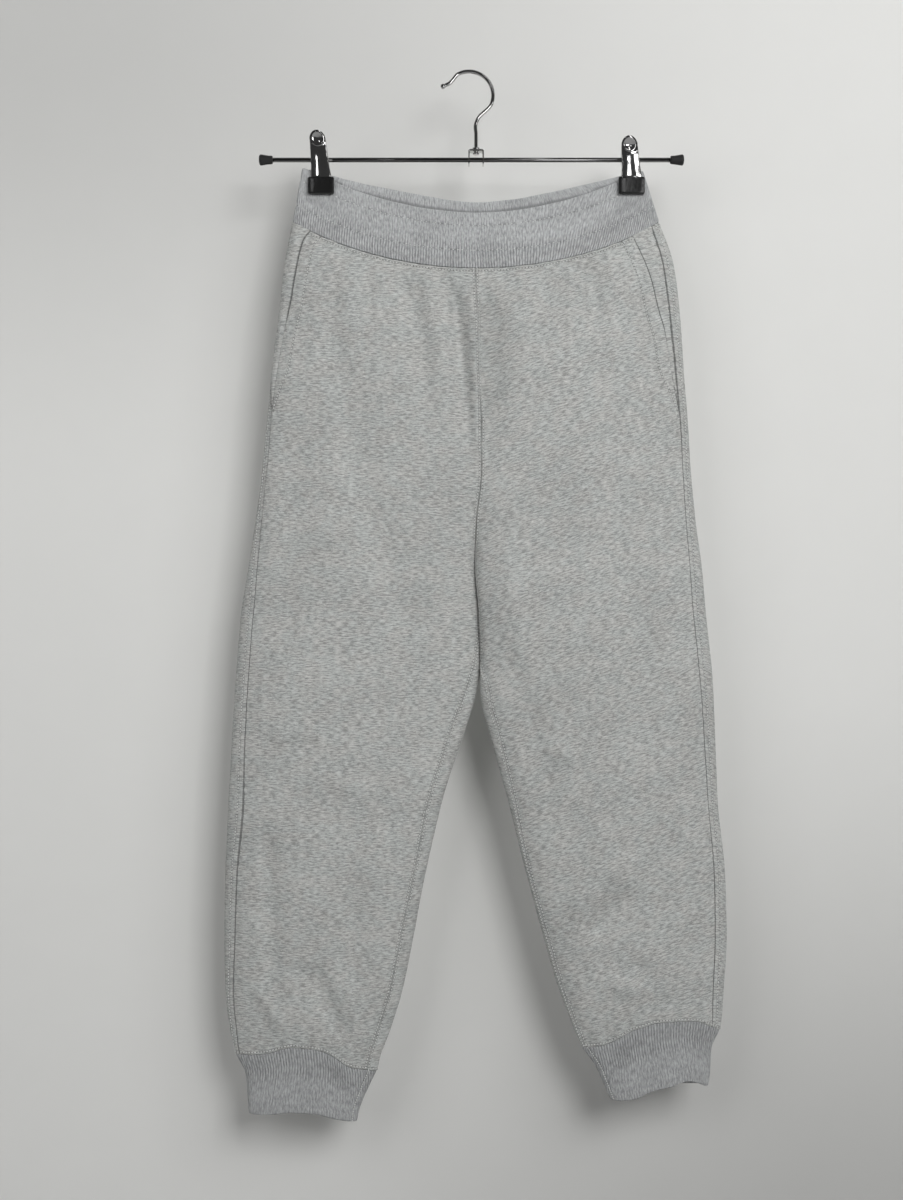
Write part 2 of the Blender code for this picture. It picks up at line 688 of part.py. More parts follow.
def bracket(material, parent, rod_cutter, stem_cutter):
    """A strip bent into an upside-down U that the rod passes through."""
    half = BRACKET_WIDTH / 2
    outline = (
        (-half, BRACKET_BOTTOM), (-half, BRACKET_TOP), (half, BRACKET_TOP), (half, BRACKET_BOTTOM),
        (half - SHEET, BRACKET_BOTTOM), (half - SHEET, BRACKET_TOP - SHEET),
        (SHEET - half, BRACKET_TOP - SHEET), (SHEET - half, BRACKET_BOTTOM),
    )
    bm = bmesh.new()
    loops = []
    for y in (-BRACKET_DEPTH / 2, BRACKET_DEPTH / 2):
        loops.append([bm.verts.new(Vector((STEM_X + x, y, z)) * MM) for x, z in outline])
    for n in range(len(outline)):
        m = (n + 1) % len(outline)
        bm.faces.new((loops[0][n], loops[0][m], loops[1][m], loops[1][n]))
    for loop in loops:
        bm.faces.new((loop[0], loop[1], loop[6], loop[7]))
        bm.faces.new((loop[1], loop[2], loop[5], loop[6]))
        bm.faces.new((loop[2], loop[3], loop[4], loop[5]))
    thing = finish("hook_bracket", bm, material, parent)
    cut(thing, rod_cutter)
    cut(thing, stem_cutter)


def clip_middle(clip, z):
    """X of the clip's middle: straight above the jaws, then leaning to the lever's top."""
    _, jaw_x, lever_x, lever_top = clip
    return blend(jaw_x, lever_x, max(0.0, (z - LEAN_FROM) / (lever_top - LEAN_FROM)))


def plate(name, clip, face, material, parent, rod_cutter):
    """One stamped clip plate: rounded lever, ears round the rod, and a flat jaw."""
    lever_top = clip[3]
    narrower = EAR_INSET if face > 0 else 0.0
    rows = []
    for drop in LEVER_DROPS:
        rise = min(drop, LEVER_RADIUS)
        width = sqrt(LEVER_RADIUS ** 2 - (LEVER_RADIUS - rise) ** 2)
        z = lever_top - drop
        stand = blend(LEVER_STAND, PLATE_ROWS[0][2], drop / (lever_top - PLATE_ROWS[0][0]))
        rows.append((z, min(width, PLATE_HALF_WIDTH), stand, LEVER_FLANGE))
    rows += [(z, share * PLATE_HALF_WIDTH, stand, flange) for z, share, stand, flange in PLATE_ROWS]
    outer, inner = [], []
    for z, half_width, stand, flange in rows:
        lean = clip_middle(clip, z)
        half = half_width - narrower
        crown = CROWN * ramp(SLEEVE_TOP, SLEEVE_TOP + CROWN_RISE, z)
        section = ((-1, -flange), (-1, 0), (-0.5, crown), (0.5, crown), (1, 0), (1, -flange))
        outer.append([(lean + half * s, face * (stand + rise), z) for s, rise in section])
        inside = []
        for s, rise in section:
            narrowed = half - PLATE if abs(s) == 1 else half
            sunk = rise if rise == -flange else max(-flange, rise - PLATE)
            inside.append((lean + narrowed * s, face * (stand + sunk), z))
        inner.append(inside)
    thing = shell(name, outer, inner, False, material, parent)
    cut(thing, rod_cutter)


def sleeve(name, clip, face, material, parent):
    """A soft sleeve over the jaw, with a slot that the plate's jaw fills."""
    jaw_x = clip[1]
    size = (SLEEVE_WIDTH, SLEEVE_OUTER - SLEEVE_INNER, SLEEVE_TOP - SLEEVE_BOTTOM)
    thing = box(name, size, material, parent, rounding=SLEEVE_ROUNDING)
    middle = ((SLEEVE_INNER + SLEEVE_OUTER) / 2) * face
    thing.location = Vector((jaw_x, middle, (SLEEVE_TOP + SLEEVE_BOTTOM) / 2)) * MM
    slot_size = (SLOT_WIDTH, SLOT_DEPTH, 2 * (SLEEVE_TOP - JAW_BOTTOM + FIT))
    slot = box(f"{name}_slot", slot_size, material, parent)
    slot.location = Vector((jaw_x, face * SLOT_MIDDLE, SLEEVE_TOP)) * MM
    make_guide(slot)
    cut(thing, slot)


def hanger(chrome, rubber, vinyl, parent):
    rod_length = ROD_END["right"] + ROD_END["left"]
    rod_middle = (ROD_END["left"] - ROD_END["right"]) / 2
    along_x = (0, pi / 2, 0)
    rod = cylinder("hanger_rod", ROD_RADIUS, rod_length, chrome, parent)
    rod.location = Vector((rod_middle, 0, ROD_HEIGHT)) * MM
    rod.rotation_euler = along_x
    rod_cutter = cylinder("rod_cutter", ROD_RADIUS + FIT, rod_length, chrome, parent)
    rod_cutter.location = rod.location
    rod_cutter.rotation_euler = along_x
    stem_cutter = cylinder("stem_cutter", HOOK_RADIUS + FIT, STEM_HOLE_LENGTH, chrome, parent)
    stem_cutter.location = Vector((STEM_X, 0, BRACKET_TOP)) * MM
    make_guide(rod_cutter)
    make_guide(stem_cutter)
    for side, sign in (("right", -1), ("left", 1)):
        tip = turned(f"rod_tip_{side}", TIP_PROFILE, rubber, parent)
        tip.location = Vector((sign * (ROD_END[side] + FIT + 1.0), 0, ROD_HEIGHT)) * MM
        tip.rotation_euler = (0, sign * pi / 2, 0)
    hook(chrome, parent)
    ferrule_profile = (
        (HOOK_RADIUS + FIT, 0),
        (FERRULE_RADIUS, 0),
        (FERRULE_RADIUS, FERRULE_HEIGHT - FERRULE_EDGE),
        (FERRULE_RADIUS - FERRULE_EDGE, FERRULE_HEIGHT),
        (HOOK_RADIUS + FIT, FERRULE_HEIGHT),
    )
    ferrule = turned("hook_ferrule", ferrule_profile, chrome, parent, ring=True)
    ferrule.location = Vector((STEM_X, 0, BRACKET_TOP + FIT)) * MM
    bracket(chrome, parent, rod_cutter, stem_cutter)
    for clip in CLIPS:
        side = clip[0]
        for face, word in ((-1, "front"), (1, "back")):
            plate(f"clip_{side}_{word}_jaw", clip, face, chrome, parent, rod_cutter)
            sleeve(f"clip_{side}_{word}_sleeve", clip, face, vinyl, parent)
        inside = ROD_RADIUS + FIT
        spring_profile = (
            (inside, -SPRING_HALF_LENGTH), (SPRING_RADIUS, -SPRING_HALF_LENGTH),
            (SPRING_RADIUS, SPRING_HALF_LENGTH), (inside, SPRING_HALF_LENGTH),
        )
        spring = turned(f"clip_{side}_spring", spring_profile, chrome, parent, ring=True)
        spring.location = Vector((clip_middle(clip, ROD_HEIGHT), 0, ROD_HEIGHT)) * MM
        spring.rotation_euler = along_x


# ---- build ---------------------------------------------------------------------------------
def build():
    for thing in list(bpy.data.objects):
        bpy.data.objects.remove(thing)
    groups = {}
    for name in ("garment", "hanger"):
        groups[name] = bpy.data.objects.new(f"{name}_group", None)
        bpy.context.scene.collection.objects.link(groups[name])
    fleece = finished_material("heather_fleece", (0.44, 0.45, 0.44), 0.95)
    rib = finished_material("heather_rib_knit", (0.37, 0.39, 0.40), 0.95)
    chrome = finished_material("chrome", (0.80, 0.80, 0.80), 0.08, 1.0)
    rubber = finished_material("black_rubber", (0.015, 0.015, 0.016), 0.6)
    vinyl = finished_material("black_vinyl", (0.010, 0.010, 0.011), 0.2)
    legs = {
        "right": Leg("right", -1, RIGHT_LEG, RIGHT_OPENING, RIGHT_CUFF_LINES, RIGHT_CUFF_SIDES),
        "left": Leg("left", 1, LEFT_LEG, LEFT_OPENING, LEFT_CUFF_LINES, LEFT_CUFF_SIDES),
    }
    for leg in legs.values():
        panel("front", leg, front_turns, fleece, groups["garment"])
        panel("back", leg, back_turns, fleece, groups["garment"])
        pocket_facing(leg, fleece, groups["garment"])
        cuff(leg, rib, groups["garment"])
    waistband(legs, rib, groups["garment"])
    hanger(chrome, rubber, vinyl, groups["hanger"])


build()
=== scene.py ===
# %% [markdown]
# # Jogger sweatpants on a clip hanger
#
# This lesson dresses a packed construction model of grey heather sweatpants. The imported model gives
# every piece's real place and size. Here each piece of cloth becomes a thin shell with creases, real
# ribs and stitches, and each piece of the hanger becomes polished metal, rubber or vinyl.
# The first cell loads the model.

from math import cos, hypot, pi, radians, sin, sqrt

import bpy
import numpy as np
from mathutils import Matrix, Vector


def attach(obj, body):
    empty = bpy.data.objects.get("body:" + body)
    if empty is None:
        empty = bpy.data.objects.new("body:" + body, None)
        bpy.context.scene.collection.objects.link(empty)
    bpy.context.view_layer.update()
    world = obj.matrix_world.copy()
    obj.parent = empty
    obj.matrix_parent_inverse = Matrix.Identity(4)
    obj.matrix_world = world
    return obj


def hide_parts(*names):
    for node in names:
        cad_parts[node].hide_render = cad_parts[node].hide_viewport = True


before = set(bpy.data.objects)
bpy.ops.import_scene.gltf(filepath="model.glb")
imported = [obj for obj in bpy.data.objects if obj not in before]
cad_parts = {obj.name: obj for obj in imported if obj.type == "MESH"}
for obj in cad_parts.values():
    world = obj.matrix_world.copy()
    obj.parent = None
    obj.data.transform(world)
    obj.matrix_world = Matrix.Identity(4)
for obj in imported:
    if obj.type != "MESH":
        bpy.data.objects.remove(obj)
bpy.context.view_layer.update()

# %% [markdown]
# ## Sizes
#
# The cloth's form is worked out from a few short tables, the same ones as in the construction, so
# the shells lie exactly on its solids. Everything here is in millimetres, because a maker cuts cloth
# in millimetres. The meshes are turned into metres when they are made.

# %% Driving sizes
MM = 0.001
MIDDLE = 7.0                # the garment's middle line, in X from the hook
CLOTH = 2.0
RIB = 3.0
SEAM_HALF_GAP = 0.05
LEG_HALF_GAP = 0.75
LEG_OVERLAP = 2.0
ROUNDNESS = 0.87            # how full a section is between an ellipse and a rounded box
CROTCH = -470.0
PARTING_EASE = 110.0
SEAM_FADE = 35.0
PARTING_REACH = 0.45
FRONT_SEAM_MIDDLE = -199.0
BACK_SEAM_MIDDLE = -189.0
SEAM_SIDE = -149.0
BACK_RISE_FADE = 0.3
FACING_FOOT = -352.0
FACING_UNDERLAP = 13.0
FACING_STEP = 3.4
FACING_RISE = 7.0
OPENING_FOOT = -345.0
OVERLAP_SHIFT = 5.0
OVERLAP_TOP = -430.0
OVERLAP_MIDDLE = -560.0
OVERLAP_FOOT = -720.0
LEAST_ROLL = 0.05
HALVINGS = 40
PROBE = 0.002

LEG_COLUMNS = ("z", "outer", "inner", "outseam", "inseam", "depth")
RIGHT_LEG = (
    (-145, 183, 1, 1, 0, 19),
    (-195, 193, 1, 1, 0, 23),
    (-250, 199, -1, 1, 0, 25),
    (-300, 206, -3, 2, 0, 25),
    (-345, 210, -5, 6, 0, 25),
    (-400, 215, -5, 6, 0, 24),
    (-450, 222, 0, 8, 0, 24),
    (-490, 228, 1, 10, 0, 23),
    (-540, 236, -3, 14, 0, 23),
    (-590, 240, -5, 14, 7, 22),
    (-620, 242, 0, 14, 12, 22),
    (-660, 244, 11, 14, 15, 21),
    (-730, 247, 33, 15, 14, 20),
    (-800, 250, 49, 12, 12, 19),
    (-860, 251, 61, 11, 13, 18),
    (-915, 250, 72, 8, 13, 17),
    (-955, 246, 84, 7, 13, 15),
    (-985, 239, 95, 4, 11, 13),
    (-1000, 233, 99, 4, 10, 12),
)
LEFT_LEG = (
    (-145, 182, -1, 10, 0, 19),
    (-195, 198, -1, 11, 0, 23),
    (-250, 204, 1, 10, 0, 25),
    (-300, 207, 3, 8, 0, 25),
    (-345, 211, 5, 8, 0, 25),
    (-400, 215, 5, 9, 0, 24),
    (-450, 220, 0, 11, 0, 24),
    (-490, 225, -1, 13, 0, 23),
    (-540, 229, 3, 14, 0, 23),
    (-590, 234, 5, 14, 0, 22),
    (-620, 236, 5, 13, 8, 22),
    (-660, 238, 13, 12, 9, 21),
    (-730, 242, 32, 11, 6, 20),
    (-800, 249, 49, 12, 4, 19),
    (-860, 251, 66, 13, 4, 18),
    (-915, 248, 82, 12, 4, 17),
    (-955, 244, 97, 9, 4, 14),
    (-985, 236, 109, 8, 4, 12),
)
OPENING_COLUMNS = ("z", "edge")
RIGHT_OPENING = (
    (-150, 156),
    (-170, 172),
    (-205, 180),
    (-230, 184),
    (-260, 191),
    (-300, 198),
    (-345, 204),
)
LEFT_OPENING = (
    (-150, 146),
    (-180, 163),
    (-205, 173),
    (-240, 182),
    (-260, 188),
    (-300, 195),
    (-345, 203),
)
CUFF_LINE_COLUMNS = ("across", "seam", "hem", "back_hem")
RIGHT_CUFF_LINES = (
    (0.0, -997, -1047, -1046),
    (0.2, -991, -1042, -1042),
    (0.4, -975, -1037, -1038),
    (0.6, -971, -1036, -1037),
    (0.8, -978, -1039, -1038),
    (1.0, -980, -1040, -1040),
)
LEFT_CUFF_LINES = (
    (0.0, -974, -1026, -1026),
    (0.2, -968, -1024, -1023),
    (0.4, -954, -1016, -1017),
    (0.6, -946, -1011, -1013),
    (0.8, -945, -1006, -1012),
    (1.0, -956, -1012, -1012),
)
CUFF_SIDE_COLUMNS = ("down", "outer", "inner", "depth")
RIGHT_CUFF_SIDES = (
    (0.0, 240, 98, 13),
    (0.35, 230, 107, 12),
    (0.8, 228, 117, 12),
    (1.0, 227, 119, 12),
)
LEFT_CUFF_SIDES = (
    (0.0, 243, 105, 13),
    (0.35, 235, 119, 12),
    (0.8, 234, 130, 12),
    (1.0, 232, 135, 12),
)

# %% [markdown]
# ## Curves through short tables
#
# Each table becomes one smooth curve for each of its columns. A cubic that never overshoots its rows
# is used, because an ordinary spline would swing past them and bulge the cloth where nobody cut it.
# All the helpers take whole arrays, so a panel of twenty thousand points is one calculation.

# %% Curve helpers
def smooth_curve(keys, values):
    """A cubic through the given rows that never overshoots them; keys ascend."""
    keys = np.array(keys, float)
    values = np.array(values, float)
    step = np.diff(keys)
    slope = np.diff(values) / step
    tangent = np.zeros_like(values)
    product = slope[:-1] * slope[1:]
    total = slope[:-1] + slope[1:]
    tangent[1:-1] = np.where(product > 0, 2 * product / np.where(total == 0, 1, total), 0)
    tangent[0] = slope[0]
    tangent[-1] = slope[-1]

    def value(at):
        at = np.clip(at, keys[0], keys[-1])
        i = np.clip(np.searchsorted(keys, at) - 1, 0, len(step) - 1)
        t = (at - keys[i]) / step[i]
        start = (1 + 2 * t) * (1 - t) ** 2 * values[i] + t * (1 - t) ** 2 * step[i] * tangent[i]
        end = t * t * (3 - 2 * t) * values[i + 1] - t * t * (1 - t) * step[i] * tangent[i + 1]
        return start + end

    return value


def curves(columns, rows):
    """A smooth curve for each named column, over the first one."""
    table = np.array(sorted(rows), float)
    return {name: smooth_curve(table[:, 0], table[:, n]) for n, name in enumerate(columns) if n}


def blend(a, b, share):
    return a + (b - a) * share


def ramp(low, high, at):
    """0 below low, 1 above high, smooth between."""
    t = np.clip((at - low) / (high - low), 0, 1)
    return t * t * (3 - 2 * t)


def lobe(angle):
    """A superellipse's two coordinates: along its width, and out from its middle plane."""
    along = np.cos(angle)
    out = np.abs(np.sin(angle))
    return np.sign(along) * np.abs(along) ** ROUNDNESS, out ** ROUNDNESS

# %% [markdown]
# ## The form of a leg
#
# A leg is one tube from the waist seam to the cuff. At the top the two tubes open into each other,
# and an arc down to the crotch says how far. The same function gives the outside and the inside of
# the cloth: an inset moves a point into the wall.

# %% Folds of the form, and the leg
# Each fold: face, top_x, top_z, foot_x, foot_z, half_width, height
FOLDS = (
    ("front", -29, -203, -6, -400, 11, -4.0),
    ("front", -46, -205, -24, -390, 12, 2.0),
    ("front", 15, -225, 19, -365, 13, -4.0),
    ("front", -71, -195, -66, -262, 12, -2.0),
    ("front", 112, -188, 126, -262, 13, -2.5),
    ("front", 138, -210, 162, -322, 13, -2.0),
    ("front", -178, -880, -128, -972, 15, -3.0),
    ("front", 160, -880, 190, -940, 15, -2.5),
    ("back", -60, -200, -30, -400, 16, -3.0),
    ("back", 64, -205, 34, -395, 16, -3.0),
    ("back", 150, -860, 190, -940, 15, -2.5),
    ("back", -150, -860, -190, -960, 15, -2.5),
)
FOLD_START = 0.18
FOLD_FADE = 0.35


class Leg:
    """One leg's outline: a smooth curve down the leg for each column of its table."""

    def __init__(self, name, side, rows, opening, cuff_lines, cuff_sides):
        self.name = name
        self.side = side
        self.edges = curves(LEG_COLUMNS, rows)
        self.opening = curves(OPENING_COLUMNS, opening)["edge"]
        self.cuff_lines = curves(CUFF_LINE_COLUMNS, cuff_lines)
        self.cuff_sides = curves(CUFF_SIDE_COLUMNS, cuff_sides)
        self.length = FRONT_SEAM_MIDDLE - float(self.cuff_lines["seam"](0.0))

    def outseam(self, z):
        return self.edges["outer"](z) - self.edges["outseam"](z)

    def front_limit(self, z):
        """Where the front panel ends at the side: the outseam, or the pocket's opening."""
        outseam = self.outseam(z)
        return np.where(z > OPENING_FOOT, np.minimum(outseam, self.opening(z)), outseam)

    def inseam(self, z):
        return self.edges["inner"](z) + leg_gap(z) + self.edges["inseam"](z)


def openness(z, across=0.0):
    """1 where the two legs are one tube at the waist, falling to 0 where they part."""
    down = np.clip((FRONT_SEAM_MIDDLE - z) / (FRONT_SEAM_MIDDLE - CROTCH), 0, 1)
    in_middle = np.sqrt(1 - down * down)
    further_out = ramp(CROTCH - PARTING_EASE, FRONT_SEAM_MIDDLE, z)
    return blend(in_middle, further_out, ramp(0, PARTING_REACH, across))


def overlap_share(z):
    return ramp(-OVERLAP_TOP, -OVERLAP_MIDDLE, -z) * ramp(OVERLAP_FOOT, OVERLAP_MIDDLE, z)


def leg_gap(z):
    sewn = ramp(CROTCH - SEAM_FADE, CROTCH + SEAM_FADE, z)
    return blend(LEG_HALF_GAP, SEAM_HALF_GAP, sewn) - LEG_OVERLAP * overlap_share(z)


def waist_seam(across, face):
    middle = np.where(face < 0, FRONT_SEAM_MIDDLE, BACK_SEAM_MIDDLE)
    return middle + (SEAM_SIDE - middle) * across ** 2


def fold_height(x, z, face):
    """How far the form's own folds lift (or sink) the cloth's face at a place."""
    height = 0.0
    for fold_face, top_x, top_z, foot_x, foot_z, half_width, peak in FOLDS:
        down = np.clip((top_z - z) / (top_z - foot_z), 0, 1)
        off = (x - blend(top_x, foot_x, down)) / half_width
        along = ramp(0, FOLD_START, down) * ramp(0, FOLD_FADE, 1 - down)
        here = face == (-1 if fold_face == "front" else 1)
        height = height + np.where(here, peak * along * np.exp(-off * off), 0)
    return height


def leg_point(leg, turn, row, inset=0.0):
    """A point of a leg's section: turn 0 is the outer edge, 90 degrees the inner edge over the back
    and -90 degrees there over the front; past 90 degrees it rolls on onto the front."""
    reach = np.where(turn <= pi / 2, np.abs(turn), pi - turn)
    face = np.where((turn < 0) | (turn > pi / 2), -1, 1)
    body_along, body_out = lobe(reach)
    tube_along, tube_out = lobe(2 * reach)
    row_height = blend(FRONT_SEAM_MIDDLE, leg.cuff_lines["seam"](0.0), row)
    across = blend((1 + tube_along) / 2, body_along, openness(row_height, 1.0))
    level = waist_seam(across, -1)
    raised = (waist_seam(across, face) - level) * (1 - ramp(0, BACK_RISE_FADE, row))
    top = level + raised - SEAM_HALF_GAP
    bottom = leg.cuff_lines["seam"](across) + SEAM_HALF_GAP
    z = blend(top, bottom, row)
    open_share = openness(z, across)
    inner = leg.edges["inner"](z) + leg_gap(z)
    width = leg.edges["outer"](z) - inner
    depth = leg.edges["depth"](z) - inset
    tube_x = inner + width / 2 + (width / 2 - inset) * tube_along
    body_x = inner + (width - inset) * body_along
    x = leg.side * blend(tube_x, body_x, open_share)
    out = depth * blend(tube_out, body_out, open_share)
    sway = -leg.side * OVERLAP_SHIFT * overlap_share(z)
    y = face * (out + fold_height(x, z, face)) + sway
    return np.stack([MIDDLE + x, y, z], axis=-1)


LEGS = {
    "right": Leg("right", -1, RIGHT_LEG, RIGHT_OPENING, RIGHT_CUFF_LINES, RIGHT_CUFF_SIDES),
    "left": Leg("left", 1, LEFT_LEG, LEFT_OPENING, LEFT_CUFF_LINES, LEFT_CUFF_SIDES),
}
print("length of each leg from its waist seam to its cuff:", {n: l.length for n, l in LEGS.items()})

# %% [markdown]
# ## Where the panels are cut
#
# A panel ends at its seams. The next helpers look for the place round the leg where the section
# crosses a seam's line, by halving the span again and again, and stop half a seam's gap short of it.

# %% Seam finders
def distance_out(leg, reach, row):
    """Distance from the middle line and height of the front face's point at this reach."""
    point = leg_point(leg, -reach, row)
    return leg.side * (point[..., 0] - MIDDLE), point[..., 2]


def reach_at(leg, row, limit, low, high):
    """The reach on the front where each row crosses a line given as a distance over height."""
    low = np.full_like(row, low)
    high = np.full_like(row, high)
    for _ in range(HALVINGS):
        middle = (low + high) / 2
        x, z = distance_out(leg, middle, row)
        further = x > limit(z)
        low = np.where(further, middle, low)
        high = np.where(further, high, middle)
    return (low + high) / 2


def trimmed(leg, row, reach, step):
    """The reach, moved by half of the seam's gap in the direction of step."""
    gap = leg_point(leg, -(reach + step), row) - leg_point(leg, -reach, row)
    return reach + step * SEAM_HALF_GAP / np.linalg.norm(gap, axis=-1)


def inner_reach(leg, row):
    """Reach of the centre seam or inseam on the front."""
    edge = np.full_like(row, pi / 2)
    rolled = leg.edges["inseam"](distance_out(leg, edge, row)[1]) >= LEAST_ROLL
    return np.where(rolled, reach_at(leg, row, leg.inseam, pi / 4, pi / 2), edge)


def front_span(leg, row):
    """First and last turn of the front panel: from the centre seam or inseam to the side."""
    start = trimmed(leg, row, inner_reach(leg, row), -PROBE)
    end = trimmed(leg, row, reach_at(leg, row, leg.front_limit, 0, pi / 4), PROBE)
    return -start, -end


def back_span(leg, row):
    """First and last turn of the back panel: from the outseam to the centre seam or inseam."""
    start = -trimmed(leg, row, reach_at(leg, row, leg.outseam, 0, pi / 4), -PROBE)
    edge = inner_reach(leg, row)
    at_edge = edge == pi / 2
    end = np.where(at_edge, trimmed(leg, row, edge, -PROBE), pi - trimmed(leg, row, edge, PROBE))
    return start, end


def facing_span(leg, row):
    """First and last turn of the pocket facing: from the outseam to under the front panel."""
    start = trimmed(leg, row, reach_at(leg, row, leg.outseam, 0, pi / 4), PROBE)
    end = reach_at(leg, row, lambda z: leg.opening(z) - FACING_UNDERLAP, 0, pi / 3)
    return -start, -end

# %% [markdown]
# ## A panel as a grid of points
#
# Sewn cloth rolls over at its edge in the last two millimetres, so the grid needs close columns and
# rows there and may be coarse in between. Each row's columns are spaced by length measured on the
# cloth, which keeps the grid square, and those lengths also become the cloth's own UV map, along
# which the knit is drawn later.

# %% Panel grids
EDGE_STEPS = np.array((0.0, 0.35, 0.8, 1.4, 2.2, 3.4))   # distances in from an edge
GRID = 3.05                 # the usual distance between points
DENSE = 401                 # samples round a section, to measure lengths on


def spaced(total, count):
    """Distances from 0 to each total: close together at both ends, even between."""
    total = np.asarray(total, float)[..., None]
    edge = EDGE_STEPS[-1]
    middle = edge + (total - 2 * edge) * np.linspace(0, 1, count)[1:-1]
    start = np.broadcast_to(EDGE_STEPS, (*total.shape[:-1], len(EDGE_STEPS)))
    return np.concatenate([start, middle, total - start[..., ::-1]], axis=-1)


def lengths(points, axis):
    """Length along a grid of points, from its first column or row."""
    steps = np.linalg.norm(np.diff(points, axis=axis), axis=-1)
    zero = np.zeros_like(np.take(steps, [0], axis=axis))
    return np.concatenate([zero, np.cumsum(steps, axis=axis)], axis=axis)


def normals(outer, inner, closed=False):
    """Unit normals of a grid that point from the inner grid to the outer one."""
    padded = np.concatenate([outer[:, -1:], outer, outer[:, :1]], axis=1) if closed else outer
    across = np.gradient(padded, axis=1)
    across = across[:, 1:-1] if closed else across
    normal = np.cross(across, np.gradient(outer, axis=0))
    normal /= np.maximum(np.linalg.norm(normal, axis=-1, keepdims=True), 1e-9)
    return normal * np.sign(np.sum(normal * (outer - inner)))


def panel_grid(leg, span, top_row=0.0, foot_row=1.0):
    """The plain grid of a panel: points outside and inside, normals and distances from its edges."""
    length = leg.length * (foot_row - top_row)
    rows = top_row + (foot_row - top_row) * spaced(length, int(length / GRID)) / length
    start, end = span(leg, rows)
    dense = blend(start[:, None], end[:, None], np.linspace(0, 1, DENSE))
    along = lengths(leg_point(leg, dense, rows[:, None]), axis=1)
    places = spaced(along[:, -1], int(along[:, -1].max() / GRID))
    turns = np.stack([np.interp(p, a, t) for p, a, t in zip(places, along, dense)])
    outer = leg_point(leg, turns, rows[:, None])
    inner = leg_point(leg, turns, rows[:, None], CLOTH)
    down = lengths(outer, axis=0)
    return {
        "leg": leg, "rows": rows, "turns": turns, "outer": outer, "inner": inner,
        "normal": normals(outer, inner),
        "start": places, "end": along[:, -1:] - places, "top": down, "bottom": down[-1:] - down,
        "u": outer[:, :1, 0] + np.sign(outer[0, -1, 0] - outer[0, 0, 0]) * places, "v": outer[..., 2],
    }

# %% [markdown]
# ## Creases
#
# Hung fleece keeps a few long soft folds: from the gathered waist, from the crotch, and where a leg
# has been folded in a drawer. A row of the table is one trough (negative) or ridge, from its top to
# its foot, with a bow and a different width on each side, because a fold that leans has one steep
# side. A cloth simulation would smooth these into general waves, so they are listed one by one.

# %% The crease tables
# Each crease: top_x, top_z, foot_x, foot_z, bow, width on the left, width on the right, height
FRONT_CREASES = (
    (-146, -190, -38, -616, -22, 16, 24, -2.6),
    (-72, -196, -48, -345, 3, 8, 14, -2.2),
    (-28, -200, -9, -372, 2, 3, 11, -2.4),
    (-1, -206, 4, -410, 0, 7, 4, 1.6),
    (9, -206, 9, -398, -3, 3, 15, -3.9),
    (44, -205, 40, -330, 2, 8, 10, 0.9),
    (114, -190, 118, -285, 0, 7, 11, -2.0),
    (90, -192, 92, -262, 2, 9, 9, 0.9),
    (160, -215, 192, -345, -4, 7, 12, -1.8),
    (66, -192, 70, -250, 0, 8, 8, -0.8),
    (-108, -190, -104, -248, 0, 8, 9, -0.9),
    (-129, -196, -120, -300, -3, 9, 9, 0.9),
    (-30, -430, -78, -640, 8, 12, 18, 1.4),
    (-58, -560, -112, -800, 10, 14, 20, -1.3),
    (30, -455, 62, -640, -8, 16, 12, 1.2),
    (36, -560, 96, -760, -10, 18, 14, -1.1),
    (148, -420, 176, -640, -6, 16, 18, -1.2),
    (-178, -360, -196, -600, 6, 18, 16, -1.2),
    (84, -838, 168, -774, 4, 18, 8, 2.2),
    (112, -866, 168, -812, 5, 10, 15, -2.2),
    (64, -670, 106, -690, 2, 6, 8, 1.1),
    (124, -900, 196, -912, -5, 10, 8, 1.4),
    (206, -760, 214, -900, 2, 10, 8, -1.2),
    (-211, -740, -205, -940, 3, 8, 12, -2.0),
    (-121, -790, -116, -938, -3, 8, 13, -1.8),
    (-208, -669, -144, -660, 5, 7, 9, 1.3),
    (-150, -700, -96, -716, -4, 7, 9, 0.9),
    (-172, -880, -128, -976, 4, 10, 11, -1.4),
    (-222, -905, -188, -962, 3, 8, 9, 1.3),
)
BACK_CREASES = (
    (-12, -192, -6, -360, 0, 7, 5, -1.6),
    (34, -194, 22, -352, -4, 10, 8, -2.2),
    (-40, -194, -30, -330, 4, 9, 12, -1.9),
    (88, -186, 74, -280, -3, 9, 9, -1.6),
    (-96, -186, -90, -268, 2, 8, 10, -1.4),
    (140, -180, 128, -262, 0, 8, 10, -1.2),
    (-142, -178, -130, -282, 0, 9, 9, -1.5),
    (18, -430, 120, -392, 9, 12, 9, -1.6),
    (-16, -436, -126, -400, -9, 9, 12, -1.4),
    (14, -470, 96, -500, 6, 12, 10, 1.3),
    (-14, -474, -104, -498, -6, 11, 12, 1.1),
    (30, -520, 108, -770, -12, 18, 14, -1.6),
    (-34, -530, -120, -790, 12, 14, 19, -1.8),
    (176, -380, 190, -640, -5, 16, 18, -1.2),
    (-180, -400, -200, -650, 5, 18, 16, -1.3),
    (82, -706, 178, -690, 7, 9, 12, -1.4),
    (-90, -724, -186, -700, -7, 11, 9, -1.5),
    (100, -838, 190, -868, 5, 9, 13, 1.5),
    (-104, -860, -196, -838, -5, 12, 9, 1.6),
    (152, -850, 200, -946, 3, 10, 10, -1.6),
    (-140, -880, -184, -968, -3, 10, 11, -1.7),
    (-214, -760, -210, -930, 2, 8, 11, -1.4),
)
CREASE_DEPTH = 2.2          # deepens them all alike
CREASE_START = 0.22         # share of a crease over which it deepens, and over which it fades
CREASE_FADE = 0.38


